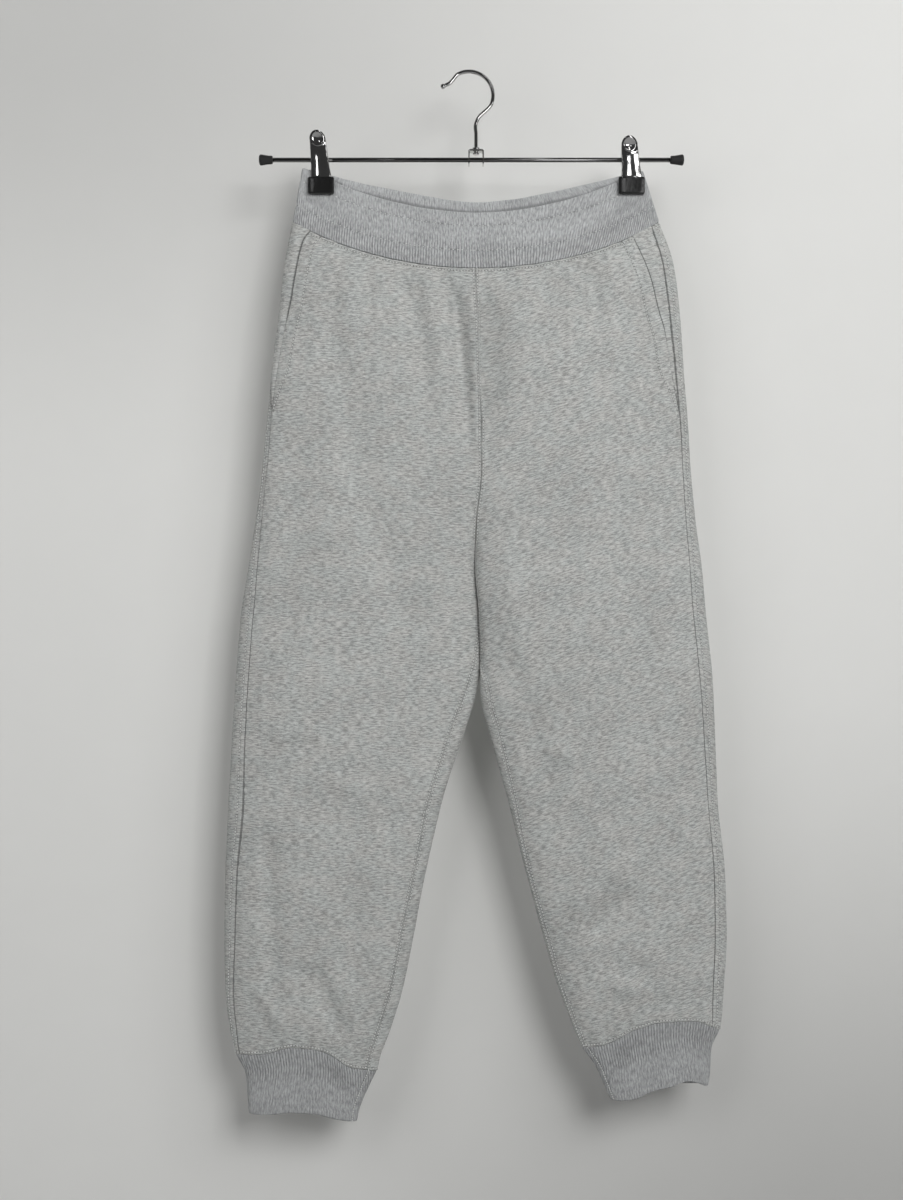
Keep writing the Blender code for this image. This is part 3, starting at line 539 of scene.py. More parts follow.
def crease_height(x, z, rows):
    """How far the creases of one face lift the cloth at x from the middle line and height z."""
    height = np.zeros_like(x)
    for top_x, top_z, foot_x, foot_z, bow, left, right, peak in rows:
        run_x, run_z = foot_x - top_x, foot_z - top_z
        length = hypot(run_x, run_z)
        share = ((x - top_x) * run_x + (z - top_z) * run_z) / length ** 2
        off = ((z - top_z) * run_x - (x - top_x) * run_z) / length
        off = off - 4 * bow * np.clip(share, 0, 1) * (1 - np.clip(share, 0, 1))
        side = off / np.where(off < 0, left, right)
        fade = ramp(0, CREASE_START, share) * ramp(0, CREASE_FADE, 1 - share)
        height += CREASE_DEPTH * peak * fade * np.exp(-side * side)
    return height

# %% [markdown]
# ## Unevenness, seams and gathers
#
# Between its creases brushed fleece is never quite flat, so a smooth random height is added, large
# and low with a little of a smaller one. Along a seam the needle pulls the cloth in, the edge rolls
# under and small puckers stand between the stitches. All of this is geometry, because it shows in
# the outline and in raking light, where a bump map would not.

# %% Surface helpers
SWELLS = ((150.0, 1.5), (62.0, 0.55), (24.0, 0.16))      # size and height of the unevenness
EDGE_RADIUS = 0.8           # of the rolled edge
SEAM_HOLD = 12.0            # how far in from the waist and cuff the creases are held flat
BEAD = 0.5                  # the fold of cloth over a seam's allowance, between seam and stitches
BEAD_IN = 1.5
BEAD_WIDTH = 1.1
PULL = 0.55                 # how deep a seam pulls the cloth, and how far in from the edge
PULL_REACH = 6.0
PUCKER = 0.3                # height of the puckers, and how far in they reach
PUCKER_REACH = 8.0
PUCKER_PITCH = 10.7
GATHER = 0.7                # the same for the gathers at the waist and the cuffs
GATHER_REACH = 20.0
GATHER_PITCH = 23.0
LATTICE = 64


def uneven(x, z, size, seed):
    """Smooth random heights from -1 to 1, with their peaks about one size apart."""
    lattice = np.random.default_rng(seed).uniform(-1, 1, (LATTICE, LATTICE))
    u, v = x / size + LATTICE, z / size + LATTICE
    i, j = np.floor(u).astype(int), np.floor(v).astype(int)
    s, t = ramp(0, 1, u - i), ramp(0, 1, v - j)
    i, j = i % LATTICE, j % LATTICE
    k, m = (i + 1) % LATTICE, (j + 1) % LATTICE
    return blend(blend(lattice[i, j], lattice[k, j], s), blend(lattice[i, m], lattice[k, m], s), t)


def rolled(distance, radius=EDGE_RADIUS):
    """How far a rolled edge has turned under at a distance from it."""
    left = np.clip(radius - distance, 0, radius)
    return radius - np.sqrt(radius * radius - left * left)


def wavy(along, pitch, seed):
    """An uneven wave along a seam, with about one crest for each pitch."""
    drift = 1.9 * sin(seed) * np.sin(along / (pitch * 1.7) + seed)
    return np.sin(2 * pi * along / pitch + drift + seed) * (0.65 + 0.35 * np.sin(along / (pitch * 0.9)))


def seam_height(distance, along, seed):
    """A seam's pull and puckers."""
    pull = PULL * np.exp(-(distance / PULL_REACH) ** 2)
    pucker = PUCKER * wavy(along, PUCKER_PITCH, seed) * np.exp(-(distance / PUCKER_REACH) ** 2)
    return pucker - pull


def gather_height(distance, along, seed):
    """The fullness that a gathered edge throws up a little way in."""
    fade = np.exp(-(distance / GATHER_REACH) ** 2)
    return GATHER * fade * wavy(along, GATHER_PITCH, seed)


def hang_height(panel, face, seed):
    """The creases and the unevenness, held flat at the waist. A facing shares its front panel's."""
    x = panel["outer"][..., 0] - MIDDLE
    z = panel["outer"][..., 2]
    height = crease_height(x, z, FRONT_CREASES if face < 0 else BACK_CREASES)
    for n, (size, peak) in enumerate(SWELLS):
        height += peak * uneven(x, z, size, seed + n)
    return height * ramp(0, SEAM_HOLD, panel["top"])


def cloth_height(panel, face, seed):
    """All that lifts or sinks a panel's face from its plain form."""
    height = hang_height(panel, face, seed) * ramp(0, SEAM_HOLD, panel["bottom"])
    height += seam_height(panel["start"], panel["top"], seed + 0.3)
    height += seam_height(panel["end"], panel["top"], seed + 1.1)
    height += seam_height(panel["top"], panel["start"], seed + 2.2)
    height += seam_height(panel["bottom"], panel["start"], seed + 2.9)
    height += gather_height(panel["top"], panel["start"], seed + 4.0)
    height += gather_height(panel["bottom"], panel["start"], seed + 5.0)
    for edge in ("top", "bottom"):
        height += BEAD * np.exp(-((panel[edge] - BEAD_IN) / BEAD_WIDTH) ** 2)
    return height

# %% [markdown]
# ## From grids to meshes
#
# A wall of cloth is two grids, outside and inside, joined by a rim. The mesh is written straight from
# arrays, since a panel has tens of thousands of points. Every piece rides on the model's one body and
# stands for its plain solid.

# %% Mesh builder
def wall_faces(rows, columns, closed):
    """Quads of a wall: outside, inside, and the rims at its ends and, if it is open, its sides."""
    layer = rows * columns
    index = np.arange(layer).reshape(rows, columns)
    nxt = np.roll(index, -1, axis=1) if closed else index[:, 1:]
    now = index if closed else index[:, :-1]
    face = np.stack([now[:-1], nxt[:-1], nxt[1:], now[1:]], axis=-1).reshape(-1, 4)
    parts = [face, face[:, ::-1] + layer]
    for edge in (0, rows - 1):
        rim = np.stack([now[edge], nxt[edge], nxt[edge] + layer, now[edge] + layer], axis=-1)
        parts.append(rim[:, ::-1] if edge == 0 else rim)
    if not closed:
        for edge in (0, columns - 1):
            side = index[:, edge]
            rim = np.stack([side[:-1], side[1:], side[1:] + layer, side[:-1] + layer], axis=-1)
            parts.append(rim if edge == 0 else rim[:, ::-1])
    return np.concatenate(parts)


def new_piece(name, points, quads, material, replaces=(), slot=None, uv=None, carried=None):
    """A smooth mesh from points in millimetres, riding on the model."""
    mesh = bpy.data.meshes.new(name)
    mesh.vertices.add(len(points))
    mesh.vertices.foreach_set("co", (points * MM).astype(np.float32).ravel())
    mesh.loops.add(quads.size)
    mesh.loops.foreach_set("vertex_index", quads.astype(np.int32).ravel())
    mesh.polygons.add(len(quads))
    mesh.polygons.foreach_set("loop_start", np.arange(0, quads.size, 4, dtype=np.int32))
    mesh.update(calc_edges=True)
    if uv is not None:
        layer = mesh.uv_layers.new(name="grain")
        layer.data.foreach_set("uv", (uv[quads.ravel()] * MM).astype(np.float32).ravel())
    for word, values in (carried or {}).items():
        if values.ndim == 1:
            mesh.attributes.new(word, "FLOAT", "POINT")
            mesh.attributes[word].data.foreach_set("value", values.astype(np.float32))
        else:
            mesh.attributes.new(word, "FLOAT_VECTOR", "POINT")
            mesh.attributes[word].data.foreach_set("vector", values.astype(np.float32).ravel())
    mesh.validate()
    mesh.shade_smooth()
    mesh.set_sharp_from_angle(angle=radians(62))
    mesh.materials.append(material)
    piece = bpy.data.objects.new(name, mesh)
    bpy.context.scene.collection.objects.link(piece)
    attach(piece, "root")
    if replaces:
        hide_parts(*replaces)
    return piece


def new_wall(name, outer, inner, closed, material, u=None, v=None, carried=None, **facts):
    """A piece of cloth between two grids; u and v are its lengths along the knit."""
    rows, columns = outer.shape[:2]
    quads = wall_faces(rows, columns, closed)
    across = outer[:-1, 1:] - outer[:-1, :-1]
    down = outer[1:, :-1] - outer[:-1, :-1]
    if np.sum(np.cross(across, down) * (outer - inner)[:-1, :-1]) < 0:
        quads = quads[:, ::-1]
    points = np.concatenate([outer.reshape(-1, 3), inner.reshape(-1, 3)])
    uv = None if u is None else np.tile(np.stack([u.ravel(), v.ravel()], axis=-1), (2, 1))
    return new_piece(name, points, quads, material, uv=uv, carried=carried, **facts)

# %% [markdown]
# ## Shader maths as Python
#
# A finish is a graph of nodes. To keep it readable, one small class wraps a socket so that sums and
# products of sockets can be written as Python, each adding its Math node. Every other node comes from
# one method that takes the node's type, its settings and what its sockets are fed.

# %% Shader helpers
class Value:
    """A node's output that can be used in sums."""

    def __init__(self, finish, socket):
        self.finish = finish
        self.socket = socket

    def __add__(self, other):
        return self.finish.maths("ADD", self, other)

    def __sub__(self, other):
        return self.finish.maths("SUBTRACT", self, other)

    def __rsub__(self, other):
        return self.finish.maths("SUBTRACT", other, self)

    def __mul__(self, other):
        return self.finish.maths("MULTIPLY", self, other)

    __radd__ = __add__
    __rmul__ = __mul__


class Finish:
    """A material and the means to add nodes to it."""

    def __init__(self, name, **sockets):
        self.material = bpy.data.materials.new(name)
        self.material.use_nodes = True
        self.tree = self.material.node_tree
        self.shader = self.tree.nodes["Principled BSDF"]
        for socket, value in sockets.items():
            self.feed(self.shader.inputs[socket.replace("_", " ")], value)

    def feed(self, socket, value):
        if isinstance(value, Value):
            self.tree.links.new(value.socket, socket)
        else:
            socket.default_value = value

    def node(self, kind, settings=None, inputs=None, output=0):
        made = self.tree.nodes.new(kind)
        for name, value in (settings or {}).items():
            setattr(made, name, value)
        for name, value in (inputs or {}).items():
            self.feed(made.inputs[name], value)
        return Value(self, made.outputs[output])

    def maths(self, operation, a, b):
        return self.node("ShaderNodeMath", {"operation": operation}, {0: a, 1: b})

    def mix(self, share, a, b):
        """Colour a where share is 0 and colour b where it is 1."""
        return self.node("ShaderNodeMix", {"data_type": "RGBA"}, {0: share, 6: a, 7: b}, output=2)

    def tinted(self, colour, tint):
        settings = {"data_type": "RGBA", "blend_type": "MULTIPLY"}
        return self.node("ShaderNodeMix", settings, {0: 1.0, 6: colour, 7: tint}, output=2)

    def scaled(self, place, size):
        return self.node("ShaderNodeVectorMath", {"operation": "MULTIPLY"}, {0: place, 1: size})

    def noise(self, place, size, detail=2.0, roughness=0.55, flat=True):
        """Noise whose features are about size metres across and along."""
        scales = [1 / s for s in size] + [1.0] * (3 - len(size))
        stretched = self.scaled(place, scales)
        settings = {"noise_dimensions": "2D" if flat else "3D"}
        inputs = {"Vector": stretched, "Scale": 1.0, "Detail": detail, "Roughness": roughness}
        return self.node("ShaderNodeTexNoise", settings, inputs)

    def stretch(self, value, low, high):
        """0 below low and 1 above high, smooth between."""
        settings = {"interpolation_type": "SMOOTHSTEP"}
        return self.node("ShaderNodeMapRange", settings, {"Value": value, 1: low, 2: high})

    def bump(self, height, distance, strength=1.0):
        inputs = {"Strength": strength, "Distance": distance, "Height": height}
        self.feed(self.shader.inputs["Normal"], self.node("ShaderNodeBump", None, inputs))

    def finish(self, **sockets):
        for socket, value in sockets.items():
            self.feed(self.shader.inputs[socket.replace("_", " ")], value)
        return self.material

# %% [markdown]
# ## Heather fleece
#
# Heather grey yarn is spun from white and black fibres that aren't fully mixed. Knitted, it gives
# short level streaks, paler and darker, with a few stray dark and white fibres. The streaks follow
# the cloth's own lengths and not the room's, so they turn with each leg. The left leg hangs turned, so
# its streaks climb. A fine bump gives the brushed face its nap, and sheen the haze at its edges.

# %% Fleece
def rgb(level, tint=(1.0, 1.0, 1.0)):
    return (*[level * t for t in tint], 1.0)


FLEECE_TINT = (0.985, 1.0, 0.975)
STREAK = (0.0072, 0.0013)           # length and height of the streaks, in metres
FINE_STREAK = (0.0030, 0.0007)
CLOUD = (0.060, 0.034)
WARMTH = (0.021, 0.017)             # of the patches that are a little cooler or warmer
COOL = (0.983, 1.0, 1.0)
WARM = (1.01, 1.0, 0.992)
NAP = (0.0007, 0.0007)
STRAY = (0.0052, 0.0011)


def fleece_finish(name, lean):
    finish = Finish(name, Roughness=0.95)
    grain = finish.node("ShaderNodeUVMap", {"uv_map": "grain"})
    turned = {"Vector": grain, "Angle": radians(lean)}
    place = finish.node("ShaderNodeVectorRotate", {"rotation_type": "Z_AXIS"}, turned)
    streak = finish.noise(place, STREAK, detail=3.0, roughness=0.62)
    fine = finish.noise(place, FINE_STREAK, detail=2.0)
    cloud = finish.noise(place, CLOUD, detail=2.0)
    nap = finish.noise(place, NAP, detail=2.0, roughness=0.7)
    stray = finish.noise(grain, STRAY, detail=1.0)
    mixed = 0.62 * streak + 0.28 * fine + 0.10 * cloud
    colour = finish.mix(finish.stretch(mixed, 0.36, 0.64), rgb(0.27, FLEECE_TINT), rgb(0.54, FLEECE_TINT))
    dark = finish.stretch(0.5 * stray + 0.5 * nap, 0.57, 0.70)
    colour = finish.mix(dark * 0.6, colour, rgb(0.15))
    pale = finish.stretch(1.0 - (0.5 * stray + 0.5 * fine), 0.60, 0.72)
    colour = finish.mix(pale * 0.7, colour, rgb(0.72, (1.0, 1.0, 0.98)))
    rows = finish.node("ShaderNodeAttribute", {"attribute_name": "rows"}, output=1)
    beside = [finish.node("ShaderNodeSeparateXYZ", None, {0: rows}, output=n) for n in (0, 1)]
    nearest = finish.maths("MINIMUM", *[finish.maths("ABSOLUTE", one, 0.0) for one in beside])
    # Painted shade: the cloth is darkened along each stitched row, where the sunk row lies in shadow; the
    # same mask also sinks the bump.
    sunk_row_and_shade = 1.0 - finish.stretch(nearest + 0.5 * fine, 0.45, 1.45)
    colour = finish.mix(sunk_row_and_shade * 0.58, colour, rgb(0.11, FLEECE_TINT))
    # Painted shade: a dark line along each seam's join, and beside the pocket's opening on the facings, where
    # the gap lies in shadow.
    from_join = finish.node("ShaderNodeSeparateXYZ", None, {0: rows}, output=2)
    join_shade = 1.0 - finish.stretch(from_join + 0.3 * fine, 0.4, 1.25)
    colour = finish.mix(join_shade * 0.72, colour, rgb(0.07, FLEECE_TINT))
    warmth = finish.noise(grain, WARMTH, detail=2.0)
    tint = finish.mix(finish.stretch(warmth, 0.35, 0.65), rgb(1.0, COOL), rgb(1.0, WARM))
    colour = finish.tinted(colour, tint)
    finish.bump(0.55 * nap + 0.45 * streak - 0.8 * sunk_row_and_shade, 0.0007, 0.55)
    return finish.finish(
        Base_Color=colour,
        Roughness=0.86 + 0.12 * nap,
        Sheen_Weight=0.28,
        Sheen_Roughness=0.45,
        Sheen_Tint=rgb(0.9),
        Specular_IOR_Level=0.25,
    )


LEG_LEAN = {"right": 0.0, "left": -17.0}       # degrees that the streaks turn
FLEECE = {name: fleece_finish(f"heather_fleece_{name}", lean) for name, lean in LEG_LEAN.items()}
print("fleece finishes:", [material.name for material in FLEECE.values()])

# %% [markdown]
# ## Heather rib knit
#
# The waistband and cuffs are knitted in ribs from the same yarn. The ribs are real geometry, so the
# finish only adds what lies between them: painted shade in the grooves, which hold less light. Each rib
# carries its height as an attribute named ridge, and the finish darkens the cloth where it is low, as
# painted shade.

# %% Rib
RIB_TINT = (0.980, 1.0, 1.008)


def rib_finish(name, pale):
    """The rib's heather; pale makes it lighter, as painted light: the waistband's copy is painted paler for
    the stronger light on it.
    """
    finish = Finish(name)
    grain = finish.node("ShaderNodeUVMap", {"uv_map": "grain"})
    ridge = finish.node("ShaderNodeAttribute", {"attribute_name": "ridge"}, output=2)
    heather = finish.noise(grain, (0.0013, 0.0050), detail=3.0, roughness=0.62)
    cloud = finish.noise(grain, (0.030, 0.022), detail=2.0)
    nap = finish.noise(grain, (0.0006, 0.0006), detail=2.0, roughness=0.7)
    mixed = 0.70 * heather + 0.15 * cloud + 0.15 * nap
    shades = [rgb(level * pale, RIB_TINT) for level in (0.235, 0.47)]
    colour = finish.mix(finish.stretch(mixed, 0.30, 0.70), *shades)
    # Painted shade in the grooves between the ribs.
    groove_shade = 1.0 - finish.stretch(ridge, 0.0, 0.85)
    colour = finish.mix(groove_shade * 0.62, colour, rgb(0.15, RIB_TINT))
    rows = finish.node("ShaderNodeAttribute", {"attribute_name": "rows"}, output=1)
    beside = finish.node("ShaderNodeSeparateXYZ", None, {0: rows})
    # Painted shade: the rib is darkened in broken patches along the stitched rows and the cuff seam, where
    # they lie in shadow; the same mask also sinks the bump.
    broken = finish.stretch(finish.noise(grain, (0.0042, 0.0042), detail=1.0), 0.36, 0.60)
    sunk_row_and_shade = 1.0 - finish.stretch(finish.maths("ABSOLUTE", beside, 0.0) + 0.8 * nap, 0.5, 1.5)
    sunk_row_and_shade = sunk_row_and_shade * broken
    colour = finish.mix(sunk_row_and_shade * 0.42, colour, rgb(0.12, RIB_TINT))
    finish.bump(nap - 0.8 * sunk_row_and_shade, 0.0004, 0.5)
    return finish.finish(
        Base_Color=colour,
        Roughness=0.84 + 0.14 * nap,
        Sheen_Weight=0.22,
        Sheen_Roughness=0.45,
        Sheen_Tint=rgb(0.9),
        Specular_IOR_Level=0.25,
    )


# The waistband's rib is the cuffs' cloth, painted 12 % lighter to stand for the stronger light on it.
RIB_KNIT = {"waistband": rib_finish("waistband_rib", 1.12), "cuff": rib_finish("cuff_rib", 1.0)}

# %% [markdown]
# ## Thread
#
# The seams are sewn in grey polyester, a shade paler than the cloth and a little glossier. A small
# noise breaks up each stitch, as the twist of the thread does.

# %% Thread
def thread_finish():
    finish = Finish("grey_thread")
    place = finish.node("ShaderNodeTexCoord", output=3)
    twist = finish.noise(place, (0.0008, 0.0008, 0.0008), detail=1.0, flat=False)
    colour = finish.mix(finish.stretch(twist, 0.3, 0.7), rgb(0.50, FLEECE_TINT), rgb(0.74, FLEECE_TINT))
    finish.bump(twist, 0.0002, 0.5)
    return finish.finish(Base_Color=colour, Roughness=0.52 + 0.2 * twist, Sheen_Weight=0.1)


THREAD = thread_finish()

# %% [markdown]
# ## Front and back panels
#
# Each leg is a front and a back panel, sewn at the outseam, at the inseam and, above the crotch, to
# the other leg. The outer grid is lifted along its normals by the cloth's height and rolled under at
# its edges; the inner grid follows the lift but not the roll, so the wall stays closed at its rims.

# %% Panels
PANELS = {}
TWIN = 1.7                  # from a seam to the row of stitches on each side of it
OUTSEAM_ROW = 5.2           # the outseam's row lies behind it
WAIST_ROW = 3.0
CUFF_ROW = 2.6
POCKET_ROW = 12.5
POCKET_CURVE_TOP = -285.0
POCKET_CURVE_FOOT = -341.0
UNSEWN = 100.0              # stands for no row near
INSEAM_FAINT = 0.7          # the painted shade line along a seam that is pulled tight is thinner
OUTSEAM_FAINT = 0.3
WAIST_FAINT = 0.35


def side_row(panel, word, edge):
    """How far in from a panel's edge its stitches run at each of the grid's rows."""
    if word == "front" and edge == "end":
        z = panel["outer"][:, -1, 2]
        curve = blend(TWIN, POCKET_ROW, ramp(POCKET_CURVE_FOOT, POCKET_CURVE_TOP, z))
        return np.where(z > POCKET_CURVE_FOOT, curve, -UNSEWN)
    sewn = OUTSEAM_ROW if word == "back" and edge == "start" else TWIN
    return np.full(len(panel["outer"]), sewn)


def from_joins(panel, word):
    """Distance from the nearest seam, whose join gets a painted line of shade; the pocket's edge has none."""
    inner_edge, side_edge = ("start", "end") if word == "front" else ("end", "start")
    opening = UNSEWN * (panel["v"] > OPENING_FOOT) if word == "front" else 0.0
    body = UNSEWN * ramp(CROTCH - SEAM_FADE, CROTCH + SEAM_FADE, panel["v"])
    outseam = panel[side_edge] + opening + OUTSEAM_FAINT
    inseam = panel[inner_edge] + body + INSEAM_FAINT
    return np.minimum(np.minimum(outseam, inseam), panel["top"] + WAIST_FAINT)


def from_rows(panel, word):
    """Distances of every point from the nearest row down the panel, from that across it, and from the
    nearest join that gets a painted line of shade."""
    start = panel["start"] - side_row(panel, word, "start")[:, None]
    end = panel["end"] - side_row(panel, word, "end")[:, None]
    down = np.where(panel["start"] < panel["end"], start, end)
    top, bottom = panel["top"] - WAIST_ROW, panel["bottom"] - CUFF_ROW
    across = np.where(panel["top"] < panel["bottom"], top, bottom)
    return np.tile(np.stack([down, across, from_joins(panel, word)], axis=-1).reshape(-1, 3), (2, 1))


def dress(panel, height, roll):
    """Moves a panel's grids by its height, and rolls its outer edge under."""
    shift = panel["normal"] * height[..., None]
    panel["face"] = panel["outer"] + shift - panel["normal"] * roll[..., None]
    panel["lining"] = panel["inner"] + shift
    return panel


def leg_panel(leg, word, face, span, seed):
    panel = panel_grid(leg, span)
    level = rolled(np.minimum(panel["top"], panel["bottom"]))
    flat_sewn = ramp(CROTCH, CROTCH + PARTING_EASE, panel["v"])
    inner_edge, side_edge = ("start", "end") if face < 0 else ("end", "start")
    upright = np.maximum(rolled(panel[inner_edge]) * blend(1, 0.4, flat_sewn), rolled(panel[side_edge]))
    dress(panel, cloth_height(panel, face, seed), np.maximum(level, upright))
    name = f"{word}_{leg.name}_leg"
    piece = new_wall(
        name + "_cloth", panel["face"], panel["lining"], False, FLEECE[leg.name],
        u=panel["u"], v=panel["v"], replaces=(name,), slot="fleece",
        carried={"rows": from_rows(panel, word)},
    )
    PANELS[name] = panel
    print(piece.name, "has", len(piece.data.polygons), "faces")
    return piece


SEEDS = {"right": 3, "left": 17}
for leg in LEGS.values():
    for word, face, span in (("front", -1, front_span), ("back", 1, back_span)):
        piece = leg_panel(leg, word, face, span, SEEDS[leg.name] + (face > 0) * 5)

# %% [markdown]
# ## Pocket facings
#
# Behind each slant opening lies a facing: level with the panels at the outseam, and a step below the
# front panel's folded edge, under which it runs on.

# %% Facings
# Each opening's painted shade: how wide it is at the top, and the heights between which it fades.
OPENING_SHADE = {"right": (1.9, -236.0, -268.0), "left": (1.1, -246.0, -290.0)}
LEVEL_RISE = 1.3            # below the shade the facing comes up close beside the front's edge
LEAST_RISE = 0.8
CLOSED_SHADE = 0.7          # the painted shade's width and faintness where the opening lies shut
CLOSED_FAINT = 1.6


def from_shade(leg, panel, from_edge):
    """Distance from the outseam's join or from the painted shade in the gap under the front panel's edge."""
    width, full, gone = OPENING_SHADE[leg.name]
    closed = ramp(-full, -gone, -panel["v"])
    gap = from_edge / blend(width, CLOSED_SHADE, closed) + CLOSED_FAINT * closed
    return np.minimum(panel["start"], gap)


def from_opening(leg, points):
    """Signed distance of the facing's points from the front panel's edge, towards the side."""
    return leg.side * (points[..., 0] - MIDDLE) - leg.opening(points[..., 2])


def pocket_facing(leg):
    foot = (SEAM_SIDE - FACING_FOOT) / (SEAM_SIDE - float(leg.cuff_lines["seam"](1.0)))
    panel = panel_grid(leg, facing_span, foot_row=foot)
    from_edge = from_opening(leg, panel["outer"])
    room = leg.outseam(panel["outer"][..., 2]) - leg.opening(panel["outer"][..., 2])
    rise = np.clip(0.8 * room, LEAST_RISE, FACING_RISE)
    _, full, gone = OPENING_SHADE[leg.name]
    rise = blend(rise, np.minimum(rise, LEVEL_RISE), ramp(-full, -gone, -panel["v"]))
    step = FACING_STEP * (1 - ramp(0, rise, from_edge))
    rows = panel["rows"][:, None]
    panel["outer"] = leg_point(leg, panel["turns"], rows, step)
    panel["inner"] = leg_point(leg, panel["turns"], rows, step + CLOTH)
    shown = ramp(0, FACING_RISE, from_edge)
    height = hang_height(panel, -1, SEEDS[leg.name])
    height += seam_height(panel["start"], panel["top"], SEEDS[leg.name] + 0.3) * shown
    dress(panel, height, rolled(panel["start"]))
    # Painted shade: the facing is darkened beside the front panel's edge, where the gap lies in shadow.
    shade = from_shade(leg, panel, from_opening(leg, panel["outer"]))
    away = np.full_like(shade, UNSEWN)
    name = f"pocket_facing_{leg.name}"
    PANELS[name] = panel
    new_wall(
        name + "_cloth", panel["face"], panel["lining"], False, FLEECE[leg.name],
        u=panel["u"], v=panel["v"], replaces=(name,), slot="fleece",
        carried={"rows": np.tile(np.stack([away, away, shade], axis=-1).reshape(-1, 3), (2, 1))},
    )


for leg in LEGS.values():
    pocket_facing(leg)

# %% [markdown]
# ## Ribs round a tube
#
# The waistband and the cuffs are tubes of doubled rib. Each rib is six columns of the grid, so the
# tube is drawn with its columns along the ribs. How a rib leans, fanning out at the top of the band
# or twisting towards the inseam down a cuff, is a shift of the columns at each height.

# %% Rib tubes
RIB_PITCH = 2.5
RIB_SHARES = np.array((0.0, 0.62, 0.93, 1.0, 0.93, 0.62))    # a rib's height across its columns
RIB_DEPTH = 0.75
RIB_ROWS = 3.1              # the usual distance between the grid's rows
FOLD_RADIUS = 1.4           # of the folded top and hem
RELIEF_AT_FOLD = 0.5
RELIEF_FADE = (22.0, 44.0)
ROUND_SAMPLES = 1441
GROOVE_WIDTH = 1.5          # of a stitched row
GROOVE_DEPTH = 0.45
RIB_PULL_REACH = 4.0        # how far up a tube its joining seam pulls it in


def tube_turns(point_at, down, shift, ribs):
    """Turns of every rib column at one height: even lengths round the tube, shifted."""
    dense = np.linspace(0, 2 * pi, ROUND_SAMPLES)
    along = lengths(point_at(dense, down, 0.0)[None], axis=1)[0]
    shares = np.arange(ribs * len(RIB_SHARES)) / (ribs * len(RIB_SHARES))
    return np.interp(shift(shares, down) * along[-1], along, dense)


def relief(from_fold):
    """The ribs are drawn flatter where they are stretched over the fold."""
    return blend(RELIEF_AT_FOLD, 1.0, ramp(*RELIEF_FADE, from_fold))


def unshaded(points):
    return 0.0 * points[..., 0]


def rib_tube(name, point_at, height, ribs, shift, fold_at, extra, rows_spacing, from_row, shade=unshaded):
    """A tube of ribs. height is its usual height, and fold_at is 0 if its top is the fold, or 1.
    shade gives the painted shade on the lining, from 0 to 1, where it lies in shadow."""
    distances = spaced(np.array([height]), int(height / rows_spacing))[0]
    turns = np.stack([tube_turns(point_at, distance / height, shift, ribs) for distance in distances])
    down = (distances / height)[:, None]
    from_fold = distances[:, None] if fold_at == 0 else height - distances[:, None]
    from_seam = height - from_fold
    fold = rolled(from_fold, FOLD_RADIUS)
    outer = point_at(turns, down, fold + 0.0 * turns)
    inner = point_at(turns, down, RIB - fold + 0.0 * turns)
    normal = normals(outer, inner, closed=True)
    ridge = np.tile(RIB_SHARES, ribs)[None, :] * np.ones_like(down)
    lift, press = extra(outer, from_fold, from_seam)
    ridge = 1 - (1 - ridge * (1 - press)) * relief(from_fold)
    height_out = lift - RIB_DEPTH * (1 - ridge) * (1 - 0.7 * press) - rolled(from_seam, EDGE_RADIUS)
    face = outer + normal * height_out[..., None]
    lining = inner + normal * (lift + 0.5 * RIB_DEPTH * (1 - ridge) * (1 - press))[..., None]
    # The lining's ridge share, darkened by the painted shade between the band's two sides.
    inside = (0.45 + 0.55 * ridge) * (1 - shade(lining))
    ridges = np.concatenate([ridge.ravel(), inside.ravel()])
    rows = from_row(outer, from_fold, from_seam) + 0.0 * turns
    rows = np.tile(np.stack([rows, rows, rows], axis=-1).reshape(-1, 3), (2, 1))
    u = np.arange(turns.shape[1]) * (RIB_PITCH / len(RIB_SHARES)) + 0.0 * turns
    v = distances[:, None] + 0.0 * turns
    piece = new_wall(
        name + "_knit", face, lining, True, RIB_KNIT[name.split("_")[0]], u=u, v=v,
        carried={"ridge": ridges, "rows": rows}, replaces=(name,), slot="rib",
    )
    print(piece.name, "has", ribs, "ribs and", len(piece.data.polygons), "faces")
    PANELS[name] = {"face": face, "normal": normal, "down": from_fold + 0.0 * turns, "turns": turns}
    return piece

# %% [markdown]
# ## The waistband
#
# The band hangs from two clips, so its front dips in the middle and its back stands higher behind. At
# the clips front and back are pressed together. Two rows of dotted stitches hold the elastic inside.

# %% Waistband
BAND_FRONT_MIDDLE = -144.0
BAND_BACK_MIDDLE = -126.0
BAND_FRONT_POWER = 1.7
BAND_BACK_POWER = 1.45
BAND_CORNER = {"right": -94.5, "left": -97.5}
BAND_HALF_WIDTH = {"right": 174.0, "left": 167.0}
BAND_FRONT_SAG = 20.0
BAND_BACK_SAG = 14.0
BAND_PINCH = 3.5
BAND_PINCH_FROM = 0.8
BAND_PINCH_DOWN = 0.38
BAND_END_ROUND = 4.0
BAND_HEIGHT = 56.0
BAND_RIBS = 288
LEAN = {"right": 0.014, "left": 0.052}      # how far the ribs lean out at the top, of the whole round
ELASTIC_ROWS = (13.0, 38.0)                 # down from the fold
JAW_X = {"right": -147.5, "left": 162.0}
JAW_HALF_WIDTH = 14.0
JAW_REACH = 27.0
JAW_EASE = 6.0              # the cloth rises again over this far round a jaw
SHADE_SLOPE = 0.24          # how fast the painted shade between the sides climbs as they part
SHADE_FROM = 0.6            # it fades between these heights above the front's edge
SHADE_GONE = 2.6


